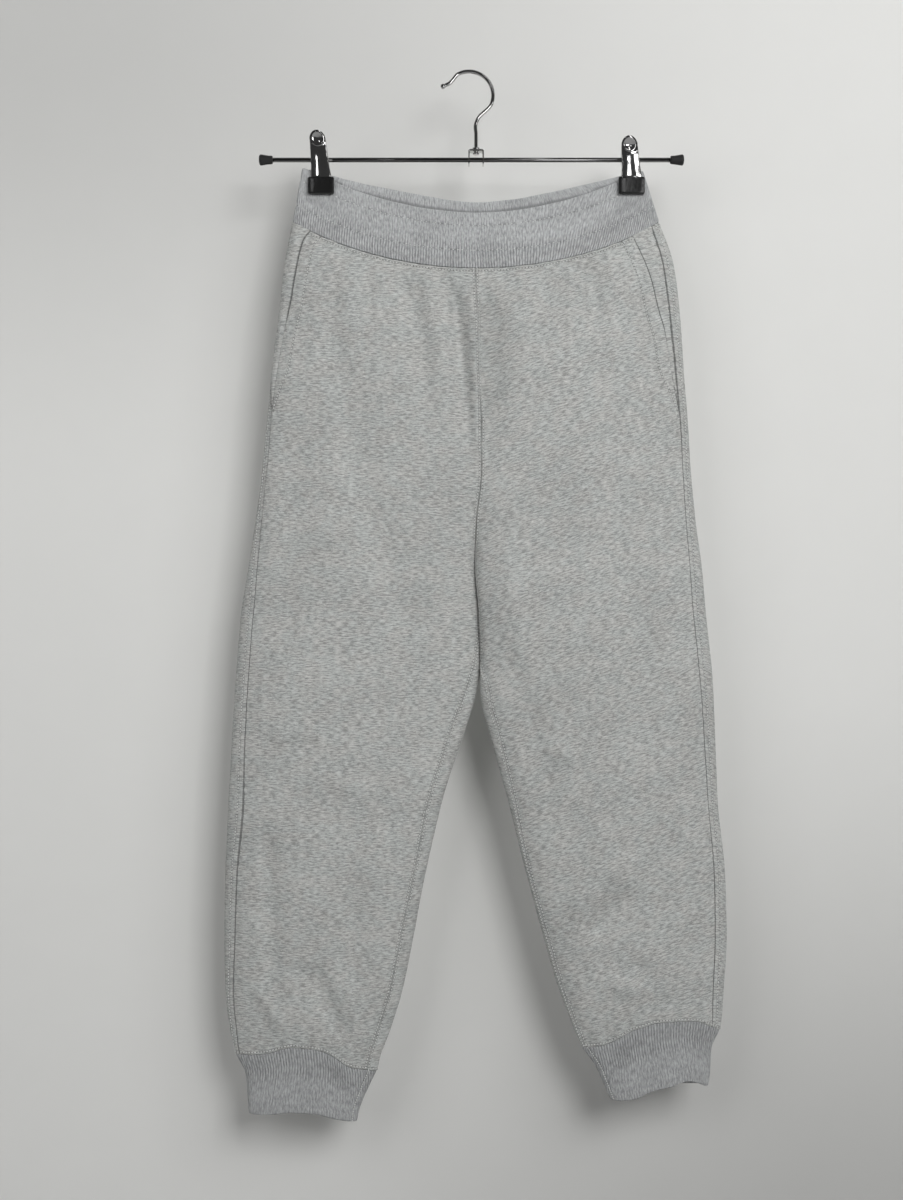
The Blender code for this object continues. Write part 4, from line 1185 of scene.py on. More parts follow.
def band_point(turn, down, inset):
    """A point of the waistband: turn 0 at the left edge, 90 degrees at the centre back."""
    along, out = lobe(turn)
    across = np.abs(along)
    face = np.where(np.sin(turn) > 0, 1, -1)
    left = along > 0
    middle = np.where(face < 0, BAND_FRONT_MIDDLE, BAND_BACK_MIDDLE)
    power = np.where(face < 0, BAND_FRONT_POWER, BAND_BACK_POWER)
    sag = np.where(face < 0, BAND_FRONT_SAG, BAND_BACK_SAG)

    def sided(right, of_left):
        return np.where(left, of_left, right)

    corner = sided(BAND_CORNER["right"], BAND_CORNER["left"])
    seam = waist_seam(across, face)
    z = blend(blend(middle, corner, across ** power), seam + SEAM_HALF_GAP, down)
    outer = {name: leg.edges["outer"](seam) for name, leg in LEGS.items()}
    at_top = sided(BAND_HALF_WIDTH["right"], BAND_HALF_WIDTH["left"])
    half_width = blend(at_top, sided(outer["right"], outer["left"]), down) - inset
    bell = 0.5 + 0.5 * np.cos(pi * np.minimum(across / BAND_PINCH_FROM, 1))
    into_end = np.maximum(0.0, (across - 1) * half_width / BAND_END_ROUND + 1)
    end = np.sqrt(np.maximum(0.0, 1 - into_end ** 2))
    pinched = (blend(BAND_PINCH, sag, bell) - inset) * end
    depth = sided(LEGS["right"].edges["depth"](seam), LEGS["left"].edges["depth"](seam))
    y = face * blend(pinched, (depth - inset) * out, ramp(BAND_PINCH_DOWN, 1, down))
    return np.stack([MIDDLE + sided(-1, 1) * half_width * across, y, z], axis=-1)


def band_shift(shares, down):
    """The ribs lean out above the seam towards each clip, far more on the left."""
    front = shares > 0.5
    left = np.where(front, ramp(0.76, 0.92, shares), 1 - ramp(0.0, 0.2, shares))
    right = np.where(front, 1 - ramp(0.58, 0.72, shares), ramp(0.3, 0.5, shares))
    return shares + (LEAN["left"] * left - LEAN["right"] * right) * (1 - down)


def from_elastic_row(points, from_fold, from_seam):
    """Signed distance from the nearer of the two stitched rows, on the front and back alike."""
    middle = sum(ELASTIC_ROWS) / 2
    upper, lower = ELASTIC_ROWS
    return np.where(from_fold < middle, from_fold - upper, from_fold - lower)


def band_surface(points, from_fold, from_seam):
    """The band's waves, its stitched rows, and the cloth pressed flat under the jaws."""
    x, y, z = points[..., 0], points[..., 1], points[..., 2]
    lift = 0.9 * uneven(x, 40.0 * np.sign(y), 58.0, 21) + 0.25 * uneven(x, z, 17.0, 22)
    for row in ELASTIC_ROWS:
        lift = lift - GROOVE_DEPTH * np.exp(-((from_fold - row) / GROOVE_WIDTH) ** 2)
    lift = lift * ramp(0, SEAM_HOLD, from_seam) - PULL * np.exp(-(from_seam / RIB_PULL_REACH) ** 2)
    press = 0.0
    for jaw_x in JAW_X.values():
        beside = 1 - ramp(JAW_HALF_WIDTH, JAW_HALF_WIDTH + JAW_EASE, np.abs(x - jaw_x))
        press = np.maximum(press, beside * (1 - ramp(JAW_REACH, JAW_REACH + JAW_EASE, from_fold)))
    return lift * (1 - press), press


def shade_between_sides(points):
    """Painted shade between the band's two sides, on the back's inner face: it rises a little above the
    front's edge, further where the sides are further apart."""
    x, y, z = points[..., 0] - MIDDLE, points[..., 1], points[..., 2]
    left = x > 0
    half_width = np.where(left, BAND_HALF_WIDTH["left"], BAND_HALF_WIDTH["right"])
    corner = np.where(left, BAND_CORNER["left"], BAND_CORNER["right"])
    across = np.minimum(np.abs(x) / half_width, 1)
    edge = blend(BAND_FRONT_MIDDLE, corner, across ** BAND_FRONT_POWER)
    bell = 0.5 + 0.5 * np.cos(pi * np.minimum(across / BAND_PINCH_FROM, 1))
    apart = y + blend(BAND_PINCH, BAND_FRONT_SAG, bell)
    above = z - edge - SHADE_SLOPE * apart
    return (1 - ramp(SHADE_FROM, SHADE_GONE, above)) * (y > 0)


rib_tube(
    "waistband", band_point, BAND_HEIGHT, BAND_RIBS, band_shift, 0, band_surface, RIB_ROWS,
    from_elastic_row, shade_between_sides,
)

# %% [markdown]
# ## The cuffs
#
# A cuff is narrower than the leg it closes, so the leg gathers above it and the ribs twist a little
# towards the inseam as they run down. A seam closes each cuff near its inner edge.

# %% Cuffs
CUFF_HEIGHT = 58.0
CUFF_RIBS = 108
CUFF_LEAN = 0.064           # how far the ribs keep straight where the cuff narrows, of the whole round
CUFF_TWIST = 0.016          # and how far they turn towards the inseam
CUFF_SEAM_IN = {"right": 9.0, "left": 6.0}    # from the cuff's inner edge, on the front
CUFF_SEAM_WIDTH = 1.3
CUFF_ROWS = 3.0


def cuff_point_of(leg):
    def cuff_point(turn, down, inset):
        along, out = lobe(turn)
        face = np.where(np.sin(turn) > 0, 1, -1)
        across = (1 + along) / 2
        hem = np.where(face > 0, leg.cuff_lines["back_hem"](across), leg.cuff_lines["hem"](across))
        z = blend(leg.cuff_lines["seam"](across) - SEAM_HALF_GAP, hem, down)
        seam = leg.cuff_lines["seam"](across)
        at_leg = (1 - down) ** 2
        outer = leg.cuff_sides["outer"](down)
        outer = outer + at_leg * (leg.edges["outer"](seam) - leg.cuff_sides["outer"](0.0))
        inner = leg.cuff_sides["inner"](down)
        inner = inner + at_leg * (leg.edges["inner"](seam) + LEG_HALF_GAP - leg.cuff_sides["inner"](0.0))
        x = (outer + inner) / 2 + ((outer - inner) / 2 - inset) * along
        depth = leg.cuff_sides["depth"](down)
        depth = depth + at_leg * (leg.edges["depth"](seam) - leg.cuff_sides["depth"](0.0))
        y = face * (depth - inset) * out
        return np.stack([MIDDLE + leg.side * x, y, z], axis=-1)

    return cuff_point


def cuff_shift(shares, down):
    return shares + down * (CUFF_LEAN * np.cos(2 * pi * shares) - CUFF_TWIST)


def off_cuff_seam(leg, points, down):
    """Signed distance of a cuff's points from its seam, across the cuff."""
    x = leg.side * (points[..., 0] - MIDDLE)
    return x - (leg.cuff_sides["inner"](down) + CUFF_SEAM_IN[leg.name] * (1 - 0.5 * down))


def from_cuff_seam_of(leg):
    """The same distance for the finish; the seam shows only on the front."""
    def from_cuff_seam(points, from_fold, from_seam):
        off = off_cuff_seam(leg, points, from_seam / CUFF_HEIGHT)
        return np.where(points[..., 1] < 0, off, UNSEWN)

    return from_cuff_seam


def cuff_surface_of(leg):
    def cuff_surface(points, from_fold, from_seam):
        x = leg.side * (points[..., 0] - MIDDLE)
        lift = 0.7 * uneven(x, 40.0 * np.sign(points[..., 1]), 34.0, 31 + leg.side)
        lift = lift + 0.35 * uneven(x, points[..., 2], 13.0, 33 + leg.side)
        lift = lift * ramp(0, SEAM_HOLD, from_seam) - PULL * np.exp(-(from_seam / RIB_PULL_REACH) ** 2)
        off = off_cuff_seam(leg, points, from_seam / CUFF_HEIGHT)
        on_seam = np.exp(-(off / CUFF_SEAM_WIDTH) ** 2) * (points[..., 1] < 0)
        return lift - GROOVE_DEPTH * on_seam, 0.8 * on_seam

    return cuff_surface


for leg in LEGS.values():
    rib_tube(
        f"cuff_{leg.name}", cuff_point_of(leg), CUFF_HEIGHT, CUFF_RIBS, cuff_shift, 1,
        cuff_surface_of(leg), CUFF_ROWS, from_cuff_seam_of(leg),
    )

# %% [markdown]
# ## Lines for the stitches
#
# A row of stitches keeps its distance from an edge, so its line is read off the panel that it is sewn
# through: at each row or column of the grid, the place at that distance. The line then lies on the
# finished cloth, creases and puckers included.

# %% Lines along the edges
def at_index(panel, name, row, column):
    """Points of a panel's grid at whole rows and fractional columns, or the other way round."""
    grid = panel[name]
    r = np.minimum(np.floor(row).astype(int), grid.shape[0] - 2)
    c = np.minimum(np.floor(column).astype(int), grid.shape[1] - 2)
    s, t = (row - r)[:, None], (column - c)[:, None]
    near = blend(grid[r, c], grid[r, c + 1], t)
    return blend(near, blend(grid[r + 1, c], grid[r + 1, c + 1], t), s)


def edge_line(panel, edge, offset):
    """Points and normals at a distance in from one edge: start and end run down, top and bottom
    across. offset is a distance, or one for each row or column."""
    distance = panel[edge]
    if edge in ("top", "bottom"):
        distance = distance.T
    if edge in ("end", "bottom"):
        distance = distance[:, ::-1]
    offsets = np.broadcast_to(offset, len(distance))
    index = np.arange(distance.shape[1], dtype=float)
    place = np.array([np.interp(o, d, index) for o, d in zip(offsets, distance)])
    if edge in ("end", "bottom"):
        place = distance.shape[1] - 1 - place
    own = np.arange(len(distance), dtype=float)
    row, column = (place, own) if edge in ("top", "bottom") else (own, place)
    return at_index(panel, "face", row, column), at_index(panel, "normal", row, column)


def part_of(line, keep):
    points, normal = line
    return points[keep], normal[keep]

# %% [markdown]
# ## Stitches
#
# One stitch is a small spindle half sunk in the cloth. All stitches of a seam are copies of the same
# few points, placed by arrays and joined in one mesh, which is far lighter than thousands of objects.

# %% Stitch maker
STITCH_PITCH = 3.1
STITCH_LENGTH = 2.5
THREAD_RADIUS = 0.5
SPINDLE = ((-0.5, 0.3, -0.5), (-0.32, 0.85, 0.1), (0.0, 1.0, 0.35), (0.32, 0.85, 0.1), (0.5, 0.3, -0.5))
SPINDLE_SIDES = 6


def stitches(line, pitch=STITCH_PITCH, length=STITCH_LENGTH, radius=THREAD_RADIUS, turn=0.0):
    """Spindles along a line of points and normals; turn rotates each one on the cloth."""
    points, normal = line
    along = lengths(points[None], axis=1)[0]
    places = np.arange(pitch / 2, along[-1] - pitch / 2, pitch)

    def read(values, at):
        return np.stack([np.interp(at, along, values[:, k]) for k in range(3)], axis=-1)

    def unit(vectors):
        return vectors / np.maximum(np.linalg.norm(vectors, axis=-1, keepdims=True), 1e-9)

    middle = read(points, places)
    up = unit(read(normal, places))
    forward = read(points, places + length / 2) - read(points, places - length / 2)
    forward = unit(forward - up * np.sum(forward * up, axis=-1, keepdims=True))
    side = np.cross(up, forward)
    forward, side = cos(turn) * forward + sin(turn) * side, cos(turn) * side - sin(turn) * forward
    rings = []
    for share, width, lift in SPINDLE:
        for k in range(SPINDLE_SIDES):
            angle = 2 * pi * k / SPINDLE_SIDES
            rise = radius * (lift + width * sin(angle))
            place = forward * share * length + up * rise + side * radius * width * cos(angle)
            rings.append(middle + place)
    return np.stack(rings, axis=1)


def spindle_faces():
    faces = []
    for ring in range(len(SPINDLE) - 1):
        for k in range(SPINDLE_SIDES):
            m = (k + 1) % SPINDLE_SIDES
            a, b = ring * SPINDLE_SIDES, (ring + 1) * SPINDLE_SIDES
            faces.append((a + k, a + m, b + m, b + k))
    last = (len(SPINDLE) - 1) * SPINDLE_SIDES
    for start, order in ((0, -1), (last, 1)):
        for quad in ((0, 1, 2, 3), (0, 3, 4, 5)):
            faces.append(tuple(start + k for k in quad[::order]))
    return np.array(faces)


def sew(name, runs, on):
    """Joins runs of stitches into one piece of thread."""
    made = np.concatenate(runs)
    faces = spindle_faces()
    quads = (faces[None] + np.arange(len(made))[:, None, None] * made.shape[1]).reshape(-1, 4)
    piece = new_piece(name, made.reshape(-1, 3), quads, THREAD)
    print(name, "has", len(made), "stitches")
    THREADS.setdefault(on, []).append(piece)
    return piece


THREADS = {}
print("a stitch has", len(SPINDLE) * SPINDLE_SIDES, "points and", len(spindle_faces()), "faces")

# %% [markdown]
# ## Which seams are sewn
#
# The centre front, the inseams and the outseams are topstitched through the panels beside them. The
# pocket opening has one row set in from its edge, which curves out to the side seam below the opening
# and ends in a bar tack. The waist and cuff seams have a row just outside the ribs.

# %% Seams of the panels
POCKET_TOP_IN = 3.0
TACK_LENGTH = 4.4
TACK_PITCH = 0.55
TACK_RADIUS = 0.22
TACK_IN = 2.2               # a tack's middle, in from the opening's edge
TACK_DOWN = 9.0             # the upper tack, below the panel's top
TACK_REACH = 3.6


def sew_panels(leg):
    front = PANELS[f"front_{leg.name}_leg"]
    back = PANELS[f"back_{leg.name}_leg"]
    inseam = [stitches(edge_line(front, "start", TWIN)), stitches(edge_line(back, "end", TWIN))]
    sew(f"inseam_thread_{leg.name}", inseam, f"front_{leg.name}_leg")
    outseam = [stitches(edge_line(back, "start", OUTSEAM_ROW))]
    sew(f"outseam_thread_{leg.name}", outseam, f"back_{leg.name}_leg")
    waist = [stitches(edge_line(panel, "top", WAIST_ROW)) for panel in (front, back)]
    cuff = [stitches(edge_line(panel, "bottom", CUFF_ROW)) for panel in (front, back)]
    sew(f"waist_thread_{leg.name}", waist, f"front_{leg.name}_leg")
    sew(f"cuff_thread_{leg.name}", cuff, f"front_{leg.name}_leg")
    edge_z = front["face"][:, -1, 2]
    line = edge_line(front, "end", np.maximum(side_row(front, "front", "end"), 0))
    shown = (edge_z > POCKET_CURVE_FOOT) & (front["top"][:, -1] > POCKET_TOP_IN)
    pocket = [stitches(part_of(line, shown))]
    beside = edge_line(front, "end", TACK_IN)
    for height in (POCKET_CURVE_FOOT, edge_z[0] - TACK_DOWN):
        near = np.abs(beside[0][:, 2] - height) < TACK_REACH
        tack = stitches(part_of(beside, near), TACK_PITCH, TACK_LENGTH, TACK_RADIUS, pi / 2)
        pocket.append(tack)
    sew(f"pocket_thread_{leg.name}", pocket, f"front_{leg.name}_leg")


for leg in LEGS.values():
    sew_panels(leg)

# %% Stitched rows of the band and the cuffs
ELASTIC_PITCH = 5.0
ELASTIC_STITCH = 2.0
CUFF_SEAM_PITCH = 2.4


def row_at(tube, distance):
    """A line round a tube at a distance from its fold."""
    down = tube["down"]
    order = slice(None) if down[0, 0] < down[-1, 0] else slice(None, None, -1)
    index = np.arange(len(down), dtype=float)[order]
    place = np.interp(distance, down[order, 0], index)
    columns = np.arange(down.shape[1], dtype=float)
    rows = np.full(len(columns), place)
    return at_index(tube, "face", rows, columns), at_index(tube, "normal", rows, columns)


elastic = [
    stitches(row_at(PANELS["waistband"], row), ELASTIC_PITCH, ELASTIC_STITCH, THREAD_RADIUS * 0.8)
    for row in ELASTIC_ROWS
]
sew("elastic_thread", elastic, "waistband")


def cuff_seam(leg):
    """The line down a cuff's front near its inner edge."""
    tube = PANELS[f"cuff_{leg.name}"]
    points, normal = tube["face"], tube["normal"]
    off = np.abs(off_cuff_seam(leg, points, 1 - tube["down"] / CUFF_HEIGHT))
    nearest = np.argmin(off + 1000.0 * (normal[..., 1] > 0), axis=1)
    rows = np.arange(len(points))
    return points[rows, nearest], normal[rows, nearest]


for leg in LEGS.values():
    run = stitches(cuff_seam(leg), CUFF_SEAM_PITCH, STITCH_LENGTH * 0.8)
    sew(f"cuff_seam_thread_{leg.name}", [run], f"cuff_{leg.name}")

# %% [markdown]
# ## Metal, rubber and vinyl
#
# The hanger is chromed steel. Chrome shows almost only what is round it, so its finish is a clean
# metal with faint smudges in the roughness. The rod's chrome is less polished and has its colour
# painted dark: a painted dark reflection of the room all along it. The rod's tips are matt moulded
# rubber and the sleeves on the jaws are dipped in black vinyl, which is glossy with slight ripples.

# %% Hanger finishes
def chrome_finish(name, dull, bright, least_rough):
    finish = Finish(name, Metallic=1.0)
    place = finish.node("ShaderNodeTexCoord", output=3)
    smudge = finish.noise(place, (0.012, 0.012, 0.012), detail=3.0, flat=False)
    ripple = finish.noise(place, (0.0035, 0.0035, 0.0035), detail=1.0, flat=False)
    finish.bump(ripple, 0.00004, 0.4)
    colour = finish.mix(smudge, rgb(dull, (1.0, 0.99, 0.97)), rgb(bright))
    return finish.finish(Base_Color=colour, Roughness=least_rough + 0.09 * smudge)


def rubber_finish():
    finish = Finish("black_rubber")
    place = finish.node("ShaderNodeTexCoord", output=3)
    dust = finish.noise(place, (0.004, 0.004, 0.004), detail=3.0, flat=False)
    skin = finish.noise(place, (0.0006, 0.0006, 0.0006), detail=2.0, flat=False)
    finish.bump(skin, 0.00006, 0.5)
    colour = finish.mix(dust, rgb(0.010), rgb(0.026))
    return finish.finish(Base_Color=colour, Roughness=0.48 + 0.2 * dust)


def vinyl_finish():
    finish = Finish("black_vinyl")
    place = finish.node("ShaderNodeTexCoord", output=3)
    ripple = finish.noise(place, (0.006, 0.006, 0.006), detail=2.0, flat=False)
    scuff = finish.noise(place, (0.0016, 0.0016, 0.0016), detail=3.0, flat=False)
    finish.bump(0.8 * ripple + 0.2 * scuff, 0.0004, 0.5)
    colour = finish.mix(scuff, rgb(0.006), rgb(0.013))
    return finish.finish(Base_Color=colour, Roughness=0.12 + 0.16 * scuff, Coat_Roughness=0.1)


CHROME = chrome_finish("chrome", 0.52, 0.64, 0.05)
# The rod's base colour is painted dark, standing for the dark room it reflects.
ROD_CHROME_PAINTED_DARK = chrome_finish("dark_chrome", 0.17, 0.24, 0.12)
RUBBER = rubber_finish()
VINYL = vinyl_finish()

# %% [markdown]
# ## Wires and turned pieces
#
# A wire is a ring of points carried along a path; a turned piece is a profile carried round an axis.
# Both are grids closed in one direction, so one helper meshes them. End caps are quads that fold to a
# point at the middle of the ring.

# %% Tube mesher
def tube_piece(name, rings, material, caps=True, **facts):
    """A closed surface through rings of points (rings, sides, 3)."""
    rings = np.asarray(rings, float)
    if caps:
        ends = [np.broadcast_to(ring.mean(axis=0), ring.shape) for ring in (rings[0], rings[-1])]
        rings = np.concatenate([ends[0][None], rings, ends[1][None]])
    count, sides = rings.shape[:2]
    index = np.arange(count * sides).reshape(count, sides)
    nxt = np.roll(index, -1, axis=1)
    quads = np.stack([index[:-1], nxt[:-1], nxt[1:], index[1:]], axis=-1).reshape(-1, 4)
    middle = count // 2
    out = rings[middle, 0] - rings[middle].mean(axis=0)
    corner = np.cross(rings[middle, 1] - rings[middle, 0], rings[middle + 1, 0] - rings[middle, 0])
    if np.dot(corner, out) < 0:
        quads = quads[:, ::-1]
    return new_piece(name, rings.reshape(-1, 3), quads, material, **facts)


def swept(path, radii, sides, sideways=(0.0, 1.0, 0.0)):
    """Rings round a path; sideways is a direction that the path never takes."""
    path = np.asarray(path, float)
    tangent = np.gradient(path, axis=0)
    tangent /= np.linalg.norm(tangent, axis=1, keepdims=True)
    first = np.cross(tangent, np.asarray(sideways))
    first /= np.linalg.norm(first, axis=1, keepdims=True)
    second = np.cross(tangent, first)
    angle = 2 * pi * np.arange(sides) / sides
    spokes = first[:, None] * np.cos(angle)[:, None] + second[:, None] * np.sin(angle)[:, None]
    return path[:, None] + spokes * np.broadcast_to(radii, len(path))[:, None, None]


def lathe(profile, axis, start, sides):
    """Rings of a profile of (radius, distance) round an axis through start: "x", "-x" or "z"."""
    profile = np.asarray(profile, float)
    angle = 2 * pi * np.arange(sides) / sides
    radius, distance = profile[:, :1], np.broadcast_to(profile[:, 1:], (len(profile), sides))
    a, b = radius * np.cos(angle), radius * np.sin(angle)
    order = {"x": (distance, a, b), "-x": (-distance, a, b), "z": (a, b, distance)}[axis]
    return np.stack(order, axis=-1) + np.asarray(start, float)

# %% [markdown]
# ## Rod, tips and hook
#
# The rod is a plain drawn bar with broken edges, pushed into two moulded tips. The hook is one wire:
# a stem, a bend and a round hook that ends in a small ball, so that it doesn't scratch.

# %% Rod, tips and hook
ROD_HEIGHT = -86.5
ROD_RADIUS = 2.3
ROD_END = {"right": 196.0, "left": 201.0}
ROD_CHAMFER = 0.5
FIT = 0.3
TIP_CAVITY = 1.0
TIP_PROFILE = (
    (3.2, -1.0), (3.8, -0.8), (4.05, -0.2), (4.3, 2.5), (4.6, 5.0), (5.0, 7.6), (5.4, 9.8), (5.45, 10.6),
    (5.2, 11.4), (4.5, 12.1), (3.0, 12.5), (1.2, 12.6),
)
SIDES = 40
HOOK_RADIUS = 2.0
HOOK_ARC_RADIUS = 24.0
HOOK_ARC_START = -22.0
HOOK_ARC_END = 118.0
STEM_X = 7.0
HOOK_STEM = ((STEM_X, -79.6), (STEM_X, -70.0), (STEM_X, -61.0), (6.4, -53.6), (8.6, -46.0))
HOOK_TIP = ((-16.3, -6.6), (-19.6, -9.9), (-23.4, -11.7))
HOOK_ARC_STEPS = 18
HOOK_POINTS = 130
HEAD_ROWS = ((1.6, 2.2), (1.55, 2.9), (1.2, 3.2), (0.7, 3.2), (0.45, 3.0), (0.4, HOOK_RADIUS))
BALL_RADIUS = 2.7

rod_profile = [
    (ROD_RADIUS - ROD_CHAMFER, 0.0), (ROD_RADIUS, ROD_CHAMFER),
    (ROD_RADIUS, ROD_END["right"] + ROD_END["left"] - ROD_CHAMFER),
    (ROD_RADIUS - ROD_CHAMFER, ROD_END["right"] + ROD_END["left"]),
]
rod_rings = lathe(rod_profile, "x", (-ROD_END["right"], 0, ROD_HEIGHT), SIDES)
tube_piece("rod", rod_rings, ROD_CHROME_PAINTED_DARK, replaces=("hanger_rod",), slot="chrome")
for side, sign in (("right", -1), ("left", 1)):
    place = (sign * (ROD_END[side] + FIT + TIP_CAVITY), 0, ROD_HEIGHT)
    rings = lathe(TIP_PROFILE, "x" if sign > 0 else "-x", place, SIDES)
    tube_piece(f"tip_{side}", rings, RUBBER, replaces=(f"rod_tip_{side}",), slot="rubber")


def hook_path():
    """The wire's middle line: stem, bend, round hook, and its flared tip."""
    angle = np.radians(np.linspace(HOOK_ARC_START, HOOK_ARC_END, HOOK_ARC_STEPS + 1))
    height = HOOK_ARC_RADIUS * np.sin(angle) - (HOOK_ARC_RADIUS - HOOK_RADIUS)
    arc = np.stack([HOOK_ARC_RADIUS * np.cos(angle), height], axis=-1)
    guide = np.concatenate([HOOK_STEM, arc, HOOK_TIP])
    along = lengths(guide[None], axis=1)[0]
    fine = np.linspace(0, along[-1], HOOK_POINTS)
    return np.stack([smooth_curve(along, guide[:, k])(fine) for k in (0, 1)], axis=-1)


def hook():
    path = hook_path()
    way = path[-1] - path[-2]
    way /= np.linalg.norm(way)
    angle = np.radians(np.arange(-48, 90, 6))
    ball = path[-1] + way * (BALL_RADIUS * (1 + np.sin(angle)))[:, None]
    head = [(STEM_X, path[0][1] - drop) for drop, _ in HEAD_ROWS]
    points = np.concatenate([head, path[1:], ball])
    head_radii = [radius for _, radius in HEAD_ROWS]
    radii = np.concatenate([head_radii, np.full(len(path) - 1, HOOK_RADIUS), BALL_RADIUS * np.cos(angle)])
    line = np.stack([points[:, 0], np.zeros(len(points)), points[:, 1]], axis=-1)
    tube_piece("hook", swept(line, radii, 24), CHROME, replaces=("hanger_hook",), slot="chrome")


hook()

# %% [markdown]
# ## Bracket and ferrule
#
# The hook turns in a strip bent into an upside-down U, which rides on the rod. A strip that has been
# bent has round corners, so the outline is a path with arcs, given its thickness on both sides.

# %% Bracket
BRACKET_WIDTH = 15.4
BRACKET_DEPTH = 12.0
BRACKET_TOP = -77.0
BRACKET_BOTTOM = -91.6
SHEET = 1.2
BEND_RADIUS = 1.5
EDGE_BREAK = 0.25
FERRULE_RADIUS = 3.9
FERRULE_HEIGHT = 2.6
FERRULE_EDGE = 0.8
BEND_STEPS = 9
BRACKET_STRAIGHT = 4


def bracket():
    half = (BRACKET_WIDTH - SHEET) / 2
    top = BRACKET_TOP - SHEET / 2
    bends = []
    for sign in (-1, 1):
        first = 180 if sign < 0 else 90
        angles = np.radians(np.linspace(first, first - 90, BEND_STEPS))
        centre = np.array((sign * (half - BEND_RADIUS), top - BEND_RADIUS))
        bends.append(centre + BEND_RADIUS * np.stack([np.cos(angles), np.sin(angles)], axis=-1))
    rise = np.array([(-half, BRACKET_BOTTOM), (-half, BRACKET_BOTTOM + BRACKET_STRAIGHT)])
    path = np.concatenate([rise, *bends, rise[::-1] * (-1, 1)])
    tangent = np.gradient(path, axis=0)
    tangent /= np.linalg.norm(tangent, axis=1, keepdims=True)
    normal = np.stack([-tangent[:, 1], tangent[:, 0]], axis=-1)
    across, deep, cut = SHEET / 2, BRACKET_DEPTH / 2, EDGE_BREAK
    section = (
        (across, cut - deep), (across, deep - cut), (across - cut, deep), (cut - across, deep),
        (-across, deep - cut), (-across, cut - deep), (cut - across, -deep), (across - cut, -deep),
    )
    rings = []
    for place, out in zip(path, normal):
        ring = [(place[0] + out[0] * n + STEM_X, y, place[1] + out[1] * n) for n, y in section]
        rings.append(ring)
    tube_piece("bracket", rings, CHROME, replaces=("hook_bracket",), slot="chrome")


bracket()
ferrule_profile = (
    (HOOK_RADIUS, 0.0), (FERRULE_RADIUS - 0.2, 0.0), (FERRULE_RADIUS, 0.2),
    (FERRULE_RADIUS, FERRULE_HEIGHT - FERRULE_EDGE - 0.2),
    (FERRULE_RADIUS - 0.15, FERRULE_HEIGHT - FERRULE_EDGE + 0.1),
    (FERRULE_RADIUS - FERRULE_EDGE, FERRULE_HEIGHT), (HOOK_RADIUS, FERRULE_HEIGHT),
)
ferrule_rings = lathe(ferrule_profile, "z", (STEM_X, 0, BRACKET_TOP + FIT), SIDES)
tube_piece("ferrule", ferrule_rings, CHROME, replaces=("hook_ferrule",), slot="chrome")

# %% [markdown]
# ## Clips
#
# A clip is two stamped plates that hinge on the rod. Each plate is one pressing: a round dished thumb
# pad, a neck, ears folded back round the rod, and a flat jaw. It is drawn as a grid whose sections
# change down the plate: width, distance from the middle, depth of the folded sides, and crown.

# %% Clip plates
# Each clip: side, jaw_x, lever_x, lever_top
CLIPS = (("right", -147.5, -151.4, -60.0), ("left", 162.0, 159.0, -65.5))
JAW_BOTTOM = -120.6
LEAN_FROM = -103.0
PLATE = 0.9
PLATE_HALF_WIDTH = 9.2
EAR_INSET = 1.6
PLATE_COLUMNS = ("z", "width", "stand", "flange")
PLATE_ROWS = (
    (-74.0, 0.90, 8.9, 2.2),
    (-76.0, 0.92, 8.6, 2.6),
    (-80.5, 0.94, 7.9, 8.5),
    (-84.0, 0.96, 7.5, 11.0),
    (-90.0, 0.98, 7.2, 10.6),
    (-94.0, 1.0, 7.0, 3.0),
    (-103.0, 1.1, 6.7, 1.7),
    (JAW_BOTTOM, 1.12, 6.5, 1.4),
)
LEVER_RADIUS = 8.2
LEVER_STAND = 13.0
LEVER_FLANGE = 1.4
CROWN = 1.3
PAD_RIM = 0.8               # the thumb pad's rim stands this far proud, and its middle is dished
PAD_DISH = 1.2
SLEEVE_TOP = -105.0
CROWN_FADE = 8.0            # the crown flattens inside the sleeve
SIDE_FOLD = 1.6             # radius of the fold between the face and the side
FACE_STEPS = 13
PLATE_GRID_ROWS = 64


def clip_middle(clip, z):
    """X of the clip's middle: straight above the jaws, then leaning to the lever's top."""
    _, jaw_x, lever_x, lever_top = clip
    return blend(jaw_x, lever_x, np.maximum(0.0, (z - LEAN_FROM) / (lever_top - LEAN_FROM)))


def plate_section(half, flange, crown):
    """Half of a section from the middle to the folded side's end: (across, out) pairs."""
    radius = min(SIDE_FOLD, half * 0.6, max(flange, 0.3))
    flat = np.linspace(0, half - radius, FACE_STEPS)
    crowned = crown * (1 - (flat / half) ** 2)
    drop = crown * (1 - ((half - radius) / half) ** 2)
    angle = np.radians(np.linspace(0, 90, 6))[1:]
    bend = np.stack([half - radius + radius * np.sin(angle), drop - radius + radius * np.cos(angle)], axis=-1)
    down_side = np.linspace(drop - radius, min(drop - radius, -flange), 5)[1:]
    side = np.stack([np.full(4, half), down_side], axis=-1)
    return np.concatenate([np.stack([flat, crowned], axis=-1), bend, side])


